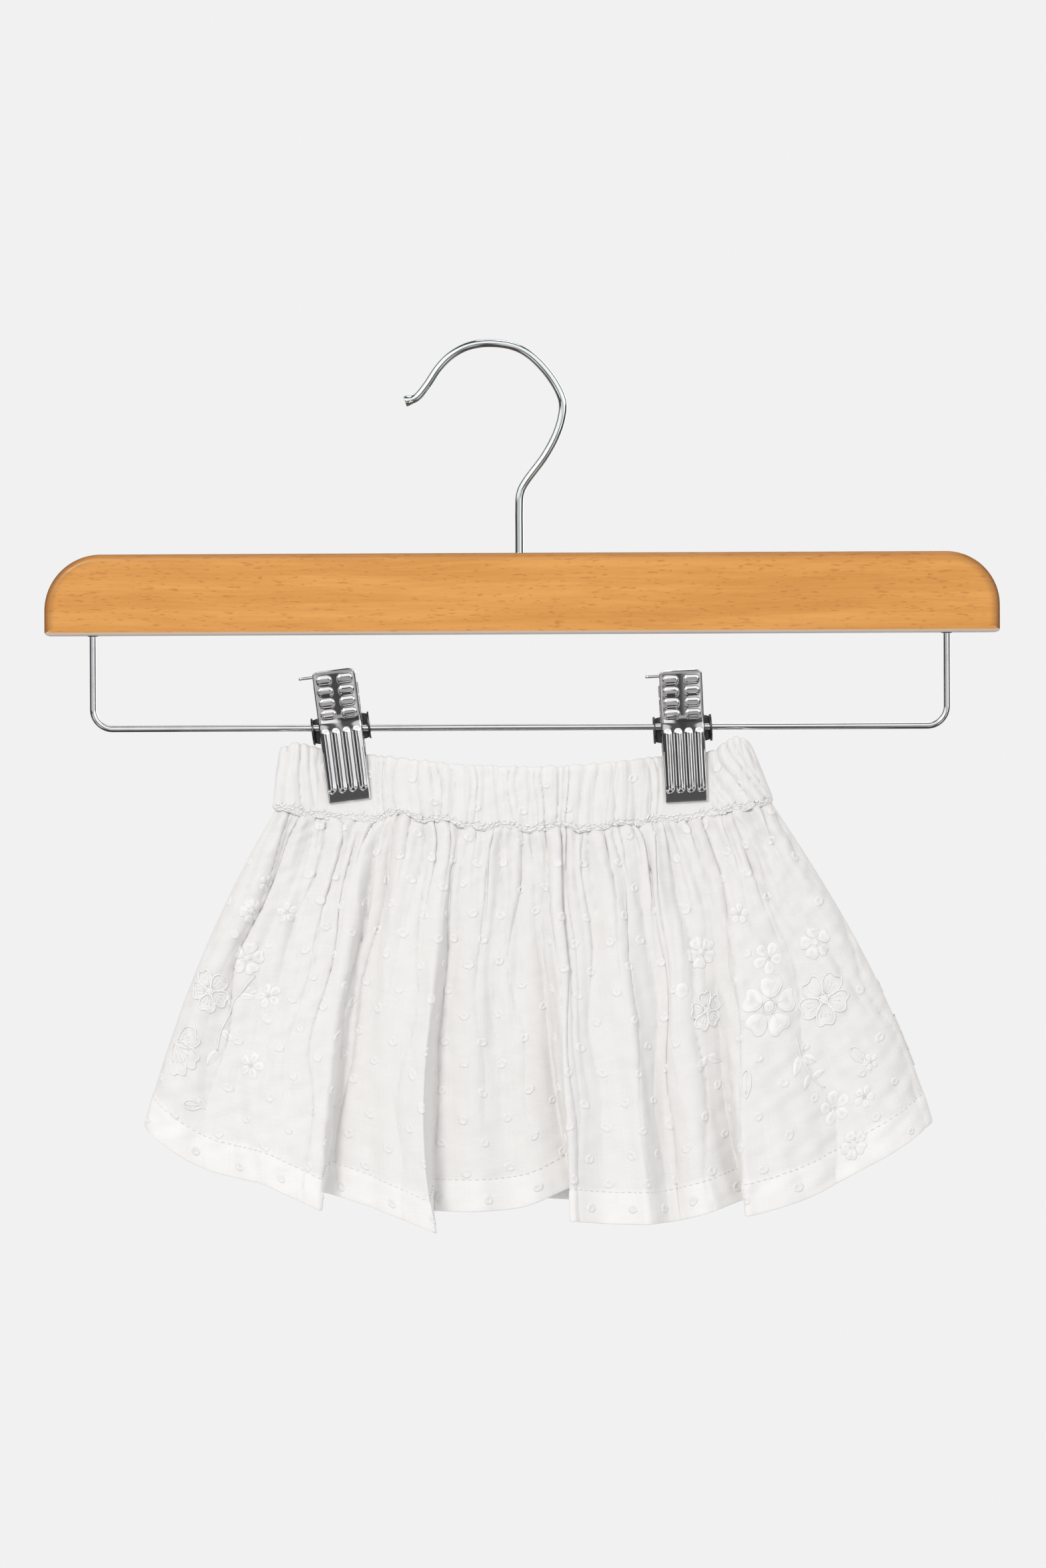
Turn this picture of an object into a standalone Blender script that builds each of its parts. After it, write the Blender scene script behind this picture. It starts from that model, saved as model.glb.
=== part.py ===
"""A child's gathered skirt, held by two pressed steel clips on a wooden clip hanger.

The tables hold millimetres, and the meshes are made in metres. +X is right, +Y is to the back, +Z is up.
The origin is where the hook rests: on the underside of its crown.
"""
import math

import bmesh
import bpy
import numpy as np
from mathutils import Matrix, Vector

MM = 0.001
GAP = 0.3

# Hanger bar
BAR_LEFT = -167.9
BAR_RIGHT = 187.2
BAR_TOP = -76.7
BAR_BOTTOM = -106.8
BAR_THICK = 12.0
BAR_ROUND = 2.6
CORNER_RADIUS = {"top_left": 21.0, "top_right": 20.0, "bottom": 3.2}

# Hook, rod and the holes they sit in
HOOK_RADIUS = 1.5
HOOK_HOLE_DEPTH = 18.0
ROD_RADIUS = 1.2
ROD_Z = -141.5
ROD_LEFT = -150.2
ROD_RIGHT = 167.6
ROD_BEND = 7.3
ROD_IN_BAR = 12.0
ROD_HOLE_DEPTH = 13.0

# Clips
CLIPS = {
    "clip_left": {"x": -57.9, "tilt": 6.9},
    "clip_right": {"x": 69.2, "tilt": 2.9},
}
PLATE_THICK = 0.9
PLATE_HALF_WIDTH = 8.05
PLATE_TOP = 21.6
PLATE_BOTTOM = -27.1
EAR_HALF_WIDTH = 10.5
EAR_RADIUS = 5.0
EAR_HOLE = 2.85
# Heights above the rod with a jaw's inside, and with how far the plates' edges are turned back
JAW_PROFILE = [(PLATE_BOTTOM, 3.3), (-20.0, 3.6), (-5.0, 5.0), (4.0, 5.6), (16.0, 8.9), (PLATE_TOP, 10.4)]
FLANGE_PROFILE = [(-8.4, 0.2), (-5.4, 2.2), (12.25, 2.4), (16.55, 0.2)]
RIB_HEIGHTS = (0.2, -3.0, -4.7, -5.4, -8.4, -22.6)
PLAIN_ABOVE_RIBS = 1.6
PLAIN_BELOW_RIBS = -24.2
RIB_LIFT = 0.7
RIB_PITCH = 3.9
PILL_LIFT = 0.6
PILL_TOP = 18.7
PILL_PITCH = 4.3
PILLS = 4
SPRING_WIRE = 0.55
SPRING_RADIUS = 2.75
SPRING_TURNS = 4.5
SPRING_STEPS = 36
SPRING_BEND = 1.2
SPRING_HALF_WIDTH = 5.0
SPRING_PIN_Z = 19.8
SPRING_PIN_OUT = 4.5

# Cloth
GATHERS = 43
SKIRT_WALL = 1.3
SKIRT_SWELL = 0.3
TURN_DEPTH = 2.6
GATHER_SHORT = 0.10
GATHER_LONGER = 0.12
BAND_WALL = 2.6
HEM_EXTRA = 0.5
GATHER_RISE = 0.9
HEM_SHARE = 0.915

# Waistband, one row for each place along it, left to right: the top edge, then the bottom edge
BAND_COLUMNS = ("top_x", "top_depth", "top_z", "low_x", "low_depth", "low_z")
BAND = [
    (-79.6, 0.15, -149.8, -82.2, 0.15, -171.6),
    (-79.6, 3.0, -149.0, -82.2, 3.2, -171.8),
    (-75.0, 5.2, -146.2, -77.0, 5.8, -173.6),
    (-69.6, 1.55, -148.2, -68.4, 1.65, -175.4),
    (-56.7, 1.55, -150.9, -54.0, 1.65, -176.2),
    (-43.8, 1.55, -151.6, -39.6, 1.65, -176.5),
    (-34.0, 6.6, -153.2, -34.0, 7.0, -176.4),
    (-12.0, 8.6, -155.6, -12.0, 8.8, -178.4),
    (10.0, 9.4, -156.4, 10.0, 9.6, -181.0),
    (32.0, 8.6, -155.8, 32.0, 8.8, -180.2),
    (48.0, 6.4, -154.2, 48.0, 7.0, -178.8),
    (56.8, 1.55, -152.8, 57.6, 1.65, -178.0),
    (69.7, 1.55, -152.2, 70.7, 1.65, -176.6),
    (82.6, 1.55, -151.0, 84.0, 1.65, -174.4),
    (88.0, 5.4, -143.4, 93.0, 5.8, -172.6),
    (93.2, 3.0, -147.0, 101.9, 3.2, -170.6),
    (93.2, 0.15, -148.0, 101.9, 0.15, -170.0),
]
PINCHED_DEPTH = 2.5
BAND_BACK_BOW = 0.85
BAND_BACK_DROP = 1.6
# The band's section, from its top edge inside, round under its lower edge, and up the outside
BAND_PROFILE_COLUMNS = ("share_down", "outward", "gather_rise")
BAND_PROFILE = [
    (0.0, -0.5, 0.0),
    (1.0, -0.5, 0.0),
    (1.0, 0.3, 0.35),
    (0.86, 0.5, 0.9),
    (0.5, 0.46, 1.0),
    (0.16, 0.5, 0.9),
    (0.0, 0.3, 0.3),
]
CLIP_FLAT = 10.0
CLIP_FADE = 4.5
CLIP_FLATTENING = 0.85

# Fold lines of the skirt, left to right: where each crosses the panel at the waist, at a third, at two
# thirds and at the hem, how far from the middle plane it hangs there, and how low
FOLD_COLUMNS = ("name", "waist_x", "third_x", "two_thirds_x", "hem_x", "hem_depth", "hem_z")
FRONT_FOLDS = [
    ("left_seam", -82.2, -103.0, -119.0, -131.4, 0.15, -287.8),
    ("left_turn", -82.2, -103.0, -119.0, -131.4, 6.0, -288.4),
    ("left_shoulder", -78.0, -98.0, -113.0, -121.0, 17.0, -298.0),
    ("left_dip", -71.0, -87.0, -99.0, -106.5, 10.0, -305.6),
    ("flower_ridge", -61.0, -71.0, -82.0, -87.0, 25.0, -308.6),
    ("left_edge", -47.0, -55.5, -61.5, -65.0, 30.0, -319.6),
    ("behind_left_edge", -41.0, -49.5, -55.5, -65.5, 7.0, -312.4),
    ("soft_left", -32.0, -39.5, -46.0, -48.0, 19.0, -317.2),
    ("knife_edge", -18.0, -23.0, -27.5, -22.6, 35.0, -328.0),
    ("behind_knife", -12.5, -17.0, -18.5, -24.6, 6.0, -319.8),
    ("soft_middle", -4.0, -8.5, -9.5, -8.0, 21.0, -320.0),
    ("middle_dip", 4.0, -1.5, 0.5, 7.0, 12.0, -319.4),
    ("middle_rise", 9.0, 9.0, 12.0, 14.0, 19.0, -317.0),
    ("behind_middle_edge", 13.5, 16.5, 20.0, 28.6, 6.0, -310.4),
    ("middle_edge", 19.0, 22.0, 25.0, 27.0, 32.0, -323.6),
    ("right_of_edge", 30.0, 33.0, 37.5, 41.5, 22.0, -324.4),
    ("strong_ridge", 41.5, 47.0, 51.5, 55.0, 31.0, -324.6),
    ("strong_dip", 51.0, 58.0, 60.5, 66.5, 12.0, -323.6),
    ("strong_side", 61.0, 69.0, 73.0, 77.0, 27.0, -320.4),
    ("behind_right_edge", 71.0, 80.0, 83.0, 92.5, 6.0, -315.4),
    ("right_edge", 78.5, 88.5, 89.5, 91.0, 31.0, -322.4),
    ("right_broad", 86.0, 101.0, 107.0, 113.0, 25.0, -316.0),
    ("right_dip", 91.5, 110.0, 121.0, 129.0, 15.0, -308.0),
    ("right_shoulder", 97.5, 119.0, 136.0, 148.0, 18.0, -298.0),
    ("right_turn", 101.9, 127.0, 147.0, 161.3, 6.0, -288.8),
    ("right_seam", 101.9, 127.0, 147.0, 161.3, 0.15, -288.2),
]
BACK_FOLDS = [
    ("left_seam", -82.2, -103.0, -119.0, -131.4, 0.15, -287.8),
    ("left_turn", -82.2, -103.0, -119.0, -131.4, 6.0, -288.4),
    ("left_shoulder", -76.0, -94.0, -108.0, -119.0, 20.0, -296.0),
    ("left_dip", -66.5, -81.0, -93.0, -101.0, 9.0, -302.0),
    ("left_ridge", -56.5, -68.0, -78.0, -85.0, 26.0, -308.0),
    ("left_edge", -46.0, -55.0, -63.5, -67.0, 31.0, -315.0),
    ("behind_left_edge", -38.0, -46.0, -54.0, -68.5, 7.0, -309.0),
    ("soft_left", -27.0, -33.0, -40.0, -45.0, 17.0, -314.0),
    ("middle_ridge", -14.5, -18.0, -22.5, -25.5, 31.0, -320.0),
    ("middle_dip", -4.0, -5.5, -7.5, -8.0, 10.0, -316.0),
    ("middle_rise", 6.0, 7.0, 8.0, 10.0, 23.0, -317.6),
    ("middle_edge", 16.0, 20.0, 24.0, 28.0, 32.0, -320.0),
    ("behind_middle_edge", 25.0, 29.0, 32.5, 29.0, 6.0, -314.0),
    ("right_of_edge", 36.0, 40.0, 44.0, 47.0, 21.0, -317.6),
    ("right_ridge", 46.0, 53.0, 59.0, 65.0, 31.0, -319.0),
    ("right_dip", 57.0, 66.0, 73.0, 79.0, 10.0, -315.0),
    ("right_rise", 67.0, 79.0, 88.0, 95.0, 25.0, -313.6),
    ("right_edge", 77.5, 93.0, 105.0, 113.0, 29.0, -310.0),
    ("behind_right_edge", 86.0, 103.0, 115.0, 113.0, 8.0, -304.0),
    ("right_shoulder", 95.0, 116.0, 133.0, 144.0, 19.0, -296.0),
    ("right_turn", 101.9, 127.0, 147.0, 161.3, 6.0, -288.8),
    ("right_seam", 101.9, 127.0, 147.0, 161.3, 0.15, -288.2),
]
STATIONS = {"waist_x": 0.0, "third_x": 1 / 3, "two_thirds_x": 2 / 3, "hem_x": 1.0}
SKIRT_ROWS = (0.0, 0.04, 0.11, 0.21, 0.35, 0.51, 0.67, 0.81, HEM_SHARE - 0.008, HEM_SHARE, 1.0)

# Centre line of the hook from its tip over the crown to the shank, as x, z
HOOK_LINE = [
    (-33.5, -20.1), (-29.3, -18.6), (-25.3, -13.9), (-21.1, -7.7), (-16.4, -3.0), (-10.2, 0.3),
    (-2.7, 1.5), (6.0, 0.5), (12.9, -3.0), (19.6, -9.9), (24.1, -17.4), (25.1, -23.3), (23.1, -31.5),
    (18.4, -40.5), (11.4, -49.9), (9.1, -54.7), (8.7, -60.8), (8.7, -70.0), (8.7, BAR_TOP - 16.5),
]
HOOK_STEPS = 2
HOOK_TIP_FLARE = 1.3


def material(name, colour, roughness, metallic=0.0):
    """A plain surface in the photographed colour."""
    made = bpy.data.materials.new(name)
    made.use_nodes = True
    shader = made.node_tree.nodes["Principled BSDF"]
    shader.inputs["Base Color"].default_value = (*colour, 1.0)
    shader.inputs["Roughness"].default_value = roughness
    shader.inputs["Metallic"].default_value = metallic
    return made


def solid(name, points, faces, surface):
    """One closed mesh object from points in millimetres, with its faces pointing out."""
    mesh = bpy.data.meshes.new(name)
    mesh.from_pydata([tuple(np.asarray(point) * MM) for point in points], [], faces)
    work = bmesh.new()
    work.from_mesh(mesh)
    bmesh.ops.recalc_face_normals(work, faces=work.faces)
    work.to_mesh(mesh)
    work.free()
    mesh.materials.append(surface)
    mesh.shade_smooth()
    mesh.set_sharp_from_angle(angle=math.radians(40))
    made = bpy.data.objects.new(name, mesh)
    bpy.context.collection.objects.link(made)
    return made


def drill(target, name, centre, axis, radius, depth):
    """Cuts a round hole whose middle is at centre."""
    mesh = bpy.data.meshes.new(name)
    work = bmesh.new()
    turn = Vector((0, 0, 1)).rotation_difference(Vector(axis)).to_matrix().to_4x4()
    place = Matrix.Translation(Vector(centre) * MM) @ turn
    bmesh.ops.create_cone(work, cap_ends=True, segments=12, radius1=radius * MM, radius2=radius * MM,
                          depth=depth * MM, matrix=place)
    work.to_mesh(mesh)
    work.free()
    cutter = bpy.data.objects.new(name, mesh)
    cutter.hide_render = True
    cutter.display_type = "WIRE"
    bpy.context.collection.objects.link(cutter)
    cut = target.modifiers.new(name, "BOOLEAN")
    cut.operation = "DIFFERENCE"
    cut.solver = "EXACT"
    cut.object = cutter
    return cutter


def wire(name, route, radius, sides, surface, flare=None):
    """A round wire along a route in millimetres, with an optional radius factor for each point."""
    curve = bpy.data.curves.new(name, "CURVE")
    curve.dimensions = "3D"
    curve.bevel_depth = radius * MM
    curve.bevel_resolution = sides // 2 - 2
    curve.use_fill_caps = True
    curve.render_resolution_u = 0
    line = curve.splines.new("POLY")
    line.points.add(len(route) - 1)
    for index, point in enumerate(route):
        line.points[index].co = (*(np.asarray(point) * MM), 1.0)
        line.points[index].radius = flare[index] if flare else 1.0
    curve.materials.append(surface)
    made = bpy.data.objects.new(name, curve)
    bpy.context.collection.objects.link(made)
    return made


def smooth_line(points, steps):
    """Points of a curve that passes through every given point."""
    points = np.asarray(points, dtype=float)
    padded = np.vstack([2 * points[0] - points[1], points, 2 * points[-1] - points[-2]])
    line = []
    for index in range(len(points) - 1):
        before, start, end, after = padded[index:index + 4]
        for step in range(steps):
            t = step / steps
            line.append(0.5 * (2 * start + (end - before) * t
                               + (2 * before - 5 * start + 4 * end - after) * t ** 2
                               + (3 * start - before - 3 * end + after) * t ** 3))
    line.append(points[-1])
    return np.array(line)


def spline_weights(shares, controls, degree=3):
    """Weights of a clamped spline: one row for each share of its length, one column for each control."""
    spans = controls - degree
    knots = np.array([0] * degree + list(range(spans + 1)) + [spans] * degree, dtype=float)
    place = np.clip(np.asarray(shares) * spans, 0, spans - 1e-9)
    weights = ((place[:, None] >= knots[None, :-1]) & (place[:, None] < knots[None, 1:])).astype(float)
    for order in range(1, degree + 1):
        raised = np.zeros((len(place), weights.shape[1] - 1))
        for index in range(raised.shape[1]):
            rise = knots[index + order] - knots[index]
            fall = knots[index + order + 1] - knots[index + 1]
            if rise > 0:
                raised[:, index] += (place - knots[index]) / rise * weights[:, index]
            if fall > 0:
                raised[:, index] += (knots[index + order + 1] - place) / fall * weights[:, index + 1]
        weights = raised
    return weights


def even_shares(lines, count):
    """Shares of a spline that spread its columns evenly over the given control lines."""
    dense = np.linspace(0, 1, 1200)
    weights = spline_weights(dense, len(lines[0]))
    travelled = np.zeros(len(dense))
    for line in lines:
        steps = np.linalg.norm(np.diff(weights @ line, axis=0), axis=1)
        travelled += np.concatenate([[0], np.cumsum(steps)]) / steps.sum()
    return np.interp(np.linspace(0, len(lines), count + 1), travelled, dense)


def grid_normals(grid):
    """Unit normals of a grid of points, rows by columns."""
    along = np.gradient(grid, axis=1)
    down = np.gradient(grid, axis=0)
    normals = np.cross(along, down)
    return normals / np.linalg.norm(normals, axis=2, keepdims=True)


def walled(grid, normals, outside, inside):
    """Points and faces of a closed wall round a grid, from its offsets to either side."""
    rows, columns = grid.shape[:2]
    layers = [grid + normals * outside[..., None], grid - normals * inside[..., None]]
    points = np.vstack([layer.reshape(-1, 3) for layer in layers])
    behind = rows * columns

    def at(row, column):
        return row * columns + column

    faces = []
    for row in range(rows - 1):
        for column in range(columns - 1):
            quad = [at(row, column), at(row, column + 1), at(row + 1, column + 1), at(row + 1, column)]
            faces.append(quad)
            faces.append([behind + corner for corner in reversed(quad)])
    rim = [at(0, column) for column in range(columns)]
    rim += [at(row, columns - 1) for row in range(1, rows)]
    rim += [at(rows - 1, column) for column in range(columns - 2, -1, -1)]
    rim += [at(row, 0) for row in range(rows - 2, 0, -1)]
    for index, corner in enumerate(rim):
        following = rim[(index + 1) % len(rim)]
        faces.append([corner, behind + corner, behind + following, following])
    return points, faces


def table_columns(names, rows):
    """A table's columns by name. Columns of numbers come back as arrays."""
    return {name: np.array(values) for name, values in zip(names, zip(*rows))}


def band_edges(side):
    """Top and bottom edge of a waistband as control lines. side is -1 in front and 1 at the back."""
    band = table_columns(BAND_COLUMNS, BAND)
    bow = 1.0 if side < 0 else BAND_BACK_BOW
    drop = 0.0 if side < 0 else BAND_BACK_DROP
    places = np.arange(len(BAND))
    from_end = np.clip(np.minimum(places, places[::-1]) / 3, 0, 1)
    edges = []
    for edge, lowered in (("top", drop), ("low", 0.0)):
        depth = band[edge + "_depth"]
        bowed = PINCHED_DEPTH + (depth - PINCHED_DEPTH) * bow
        depth = np.where(depth > PINCHED_DEPTH, bowed, depth)
        height = band[edge + "_z"] - lowered * from_end
        edges.append(np.column_stack([band[edge + "_x"], side * depth, height]))
    return edges


def gather_size(index):
    """How full one gather is, between about a half and one."""
    return 0.74 + 0.26 * math.sin(2.4 * index) * math.cos(0.7 * index + 1.0)


def near_clip(x, z):
    """1 under a clip's jaws and 0 away from them."""
    distance = min(abs(x - clip["x"] - (ROD_Z - z) * math.tan(math.radians(clip["tilt"])))
                   for clip in CLIPS.values())
    return min(max(1 - (distance - CLIP_FLAT) / CLIP_FADE, 0.0), 1.0)


def waistband(name, side, surface):
    """Half of the elastic casing: gathers raised on its outside over a plain inside."""
    top, low = band_edges(side)
    columns = 2 * GATHERS
    weights = spline_weights(even_shares([top, low], columns), len(top))
    top_line, low_line = weights @ top, weights @ low
    middle = (top_line + low_line) / 2
    along = np.gradient(middle, axis=0)
    out = np.column_stack([along[:, 1], -along[:, 0], np.zeros(len(along))]) * -side
    out[[0, -1], 1] = 0
    out /= np.linalg.norm(out, axis=1, keepdims=True)
    points = []
    for column in range(columns + 1):
        flattened = 1 - CLIP_FLATTENING * near_clip(middle[column][0], middle[column][2])
        raised = (column % 2) * gather_size(column // 2) * GATHER_RISE * flattened
        if column in (0, columns):
            raised = 0.0
        for share, offset, rise in BAND_PROFILE:
            place = top_line[column] + (low_line[column] - top_line[column]) * share
            points.append(place + out[column] * (offset * BAND_WALL + rise * raised))
    size = len(BAND_PROFILE)
    faces = [list(range(size)), [columns * size + index for index in reversed(range(size))]]
    for column in range(columns):
        for index in range(size):
            following = (index + 1) % size
            start, end = column * size, (column + 1) * size
            faces.append([start + index, end + index, end + following, start + following])
    return solid(name, points, faces, surface)


def waist_line(side):
    """The waistband's bottom edge as a fine line."""
    edge = band_edges(side)[1]
    return spline_weights(np.linspace(0, 1, 400), len(edge)) @ edge


def fold_lines(folds, side):
    """Control points of each fold line at every row of the skirt, as rows by lines by 3."""
    fold = table_columns(FOLD_COLUMNS, folds)
    across = np.array([fold[name] for name in STATIONS])
    stations = np.array(list(STATIONS.values()))
    waist = waist_line(side)
    waist_depth = np.interp(fold["waist_x"], waist[:, 0], waist[:, 1])
    waist_z = np.interp(fold["waist_x"], waist[:, 0], waist[:, 2]) - GAP
    waist_depth[[0, -1]] = side * fold["hem_depth"][[0, -1]]
    waist_depth[[1, -2]] = side * TURN_DEPTH
    grid = []
    for share in SKIRT_ROWS:
        pull = [np.prod((share - np.delete(stations, index)) / (station - np.delete(stations, index)))
                for index, station in enumerate(stations)]
        swell = share * (1 + SKIRT_SWELL * (1 - share))
        x = np.array(pull) @ across
        y = waist_depth + (side * fold["hem_depth"] - waist_depth) * swell
        z = waist_z + (fold["hem_z"] - waist_z) * share
        grid.append(np.column_stack([x, y, z]))
    return np.array(grid)


def skirt_panel(name, folds, side, surface):
    """Half of the skirt: a wall through its fold lines, with gathers that fade below the waist."""
    lines = fold_lines(folds, side)
    columns = 2 * GATHERS
    shares = even_shares([lines[0], lines[-1]], columns)
    weights = spline_weights(shares, lines.shape[1])
    grid = np.array([weights @ row for row in lines])
    normals = grid_normals(grid)
    normals[0, :, 2] = 0
    for column in range(1, columns):
        gather = column // 2
        reach = GATHER_SHORT + GATHER_LONGER * abs(math.sin(1.7 * gather))
        for row, share in enumerate(SKIRT_ROWS):
            fade = math.exp(-(share / reach) ** 2)
            swing = (0.5 if column % 2 else -0.5) * gather_size(gather) * GATHER_RISE * fade
            grid[row, column] += normals[row, column] * swing
    waist = waist_line(side)
    grid[0, :, 2] = np.interp(grid[0, :, 0], waist[:, 0], waist[:, 2]) - GAP
    hem = np.array([[HEM_EXTRA if share >= HEM_SHARE else 0.0] * (columns + 1) for share in SKIRT_ROWS])
    half = np.full(grid.shape[:2], SKIRT_WALL / 2)
    normals = grid_normals(grid) * side
    normals[:, (0, -1), 1] = 0
    normals[0, :, 2] = 0
    normals /= np.linalg.norm(normals, axis=2, keepdims=True)
    points, faces = walled(grid, normals, half + hem, half)
    return solid(name, points, faces, surface)


def at_height(z, profile):
    """Reads a profile of (height, value) rows, lowest first, at a height above the rod."""
    return np.interp(z, [row[0] for row in profile], [row[1] for row in profile])


def jaw_inside(z):
    """Distance of a jaw's inside from the clip's middle plane."""
    return at_height(z, JAW_PROFILE)


def plate_rows():
    """Heights of a plate's rows with how far the pills and the ribs are raised on each."""
    rows = [(PLATE_TOP, 0, 0), (PILL_TOP + PILL_PITCH / 2, 0, 0)]
    for index in range(PILLS):
        middle = PILL_TOP - PILL_PITCH * index
        rows += [(middle, 1, 0), (middle - PILL_PITCH / 2, 0, 0)]
    rows.append((PLAIN_ABOVE_RIBS, 0, 0))
    rows += [(z, 0, 1) for z in RIB_HEIGHTS]
    return rows + [(PLAIN_BELOW_RIBS, 0, 0), (PLATE_BOTTOM, 0, 0)]


def clip_place(clip):
    """Where a clip sits: tilted on the rod, hanging by the upper edge of its ear holes."""
    tilt = math.radians(clip["tilt"])
    slack = EAR_HOLE - ROD_RADIUS - GAP - EAR_HALF_WIDTH * math.sin(tilt)
    place = Matrix.Translation(Vector((clip["x"], 0, ROD_Z - max(slack, 0.0))))
    return place @ Matrix.Rotation(-tilt, 4, "Y")


def clip_plate(name, clip, side, surface):
    """One pressed plate. The back one has two ears that reach round the rod."""
    across = [(RIB_PITCH / 2, 1, 1), (RIB_PITCH, 0, 1), (RIB_PITCH * 1.5, 1, 1)]
    ears = side > 0
    grid = []
    lift = []
    for z, pill, rib in plate_rows():
        depth = jaw_inside(z) + PLATE_THICK / 2
        width = PLATE_HALF_WIDTH
        flange = at_height(z, FLANGE_PROFILE)
        if ears and abs(z) < EAR_RADIUS:
            width = EAR_HALF_WIDTH
            flange = depth + math.sqrt(EAR_RADIUS ** 2 - z ** 2)
        right = [(x, depth, rib * on_rib * RIB_LIFT + pill * on_pill * PILL_LIFT)
                 for x, on_rib, on_pill in across]
        right += [(PLATE_HALF_WIDTH - 1.1, depth, 0), (width - 0.4, depth - 0.14 * flange, 0)]
        right.append((width, depth - flange, 0))
        line = [(-x, y, up) for x, y, up in reversed(right)] + [(0.0, depth, 0)] + right
        grid.append([(x, side * y, z) for x, y, up in line])
        lift.append([up for x, y, up in line])
    grid = np.array(grid)
    lift = np.array(lift)
    half = np.full(lift.shape, PLATE_THICK / 2)
    points, faces = walled(grid, grid_normals(grid) * side, half + lift, half - lift)
    place = clip_place(clip)
    made = solid(name, [place @ Vector(point) for point in points], faces, surface)
    if ears:
        drill(made, name + "_ear_hole", place @ Vector((0, 0, 0)), place.to_3x3() @ Vector((1, 0, 0)),
              EAR_HOLE, 3 * EAR_HALF_WIDTH)
    return made


def clip_spring(name, clip, surface):
    """A torsion spring round the rod. One end bends out past the front plate's left edge."""
    def arm(side, z):
        return side * (jaw_inside(z) - GAP - SPRING_WIRE)
    left, right = -SPRING_HALF_WIDTH, SPRING_HALF_WIDTH
    pin_x = -(PLATE_HALF_WIDTH + PLATE_THICK / 2 + SPRING_PIN_OUT)
    below_pin = SPRING_PIN_Z - SPRING_BEND
    route = [(pin_x, arm(-1, SPRING_PIN_Z), SPRING_PIN_Z),
             (left - SPRING_BEND, arm(-1, SPRING_PIN_Z), SPRING_PIN_Z),
             (left, arm(-1, below_pin), below_pin)]
    for step in range(SPRING_STEPS + 1):
        angle = math.pi + 2 * math.pi * SPRING_TURNS * step / SPRING_STEPS
        x = left + (right - left) * step / SPRING_STEPS
        route.append((x, SPRING_RADIUS * math.cos(angle), SPRING_RADIUS * math.sin(angle)))
    route.append((right, arm(1, SPRING_PIN_Z), SPRING_PIN_Z))
    place = clip_place(clip)
    return wire(name, [place @ Vector(point) for point in route], SPRING_WIRE, 4, surface)


def bar_outline(inset):
    """The bar's outline from the front, drawn in by an inset."""
    corners = [
        (BAR_LEFT, BAR_TOP, 1, -1, "top_left", 180),
        (BAR_RIGHT, BAR_TOP, -1, -1, "top_right", 90),
        (BAR_RIGHT, BAR_BOTTOM, -1, 1, "bottom", 0),
        (BAR_LEFT, BAR_BOTTOM, 1, 1, "bottom", -90),
    ]
    outline = []
    for x, z, inward_x, inward_z, corner, start in corners:
        radius = CORNER_RADIUS[corner]
        arcs = 3 if corner == "bottom" else 6
        for step in range(arcs + 1):
            angle = math.radians(start - 90 * step / arcs)
            outline.append((x + inward_x * radius + (radius - inset) * math.cos(angle),
                            z + inward_z * radius + (radius - inset) * math.sin(angle)))
    return outline


def hanger_bar(surface):
    """The wooden bar with rounded edges, drilled for the hook and the rod."""
    quarter = [math.radians(30 * step) for step in range(4)]
    rings = [(BAR_ROUND * (1 - math.sin(angle)), BAR_ROUND * (1 - math.cos(angle)) - BAR_THICK / 2)
             for angle in quarter]
    rings += [(inset, -y) for inset, y in reversed(rings)]
    points = [(x, y, z) for inset, y in rings for x, z in bar_outline(inset)]
    size = len(bar_outline(0))
    faces = [list(range(size)), list(reversed(range((len(rings) - 1) * size, len(rings) * size)))]
    for ring in range(len(rings) - 1):
        for index in range(size):
            following = (index + 1) % size
            faces.append([ring * size + index, (ring + 1) * size + index,
                          (ring + 1) * size + following, ring * size + following])
    bar = solid("hanger_bar", points, faces, surface)
    shank_x = HOOK_LINE[-1][0]
    drill(bar, "hook_hole", (shank_x, 0, BAR_TOP), (0, 0, 1), HOOK_RADIUS + GAP, 2 * HOOK_HOLE_DEPTH)
    for name, x in (("rod_hole_left", ROD_LEFT), ("rod_hole_right", ROD_RIGHT)):
        drill(bar, name, (x, 0, BAR_BOTTOM), (0, 0, 1), ROD_RADIUS + GAP, 2 * ROD_HOLE_DEPTH)
    return bar


def hanger_hook(surface):
    """The bent wire hook with a slightly flared tip, its shank in the bar."""
    line = smooth_line([(x, 0, z) for x, z in HOOK_LINE], HOOK_STEPS)
    flare = [HOOK_TIP_FLARE] + [1.0] * (len(line) - 1)
    return wire("hanger_hook", line, HOOK_RADIUS, 8, surface, flare)


def clip_rod(surface):
    """The U-shaped wire under the bar that carries the clips."""
    top = BAR_BOTTOM + ROD_IN_BAR
    route = [(ROD_LEFT, 0, top)]
    for x, start in ((ROD_LEFT + ROD_BEND, 180), (ROD_RIGHT - ROD_BEND, 270)):
        for step in range(7):
            angle = math.radians(start + 15 * step)
            route.append((x + ROD_BEND * math.cos(angle), 0, ROD_Z + ROD_BEND + ROD_BEND * math.sin(angle)))
    route.append((ROD_RIGHT, 0, top))
    return wire("clip_rod", route, ROD_RADIUS, 8, surface)


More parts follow.
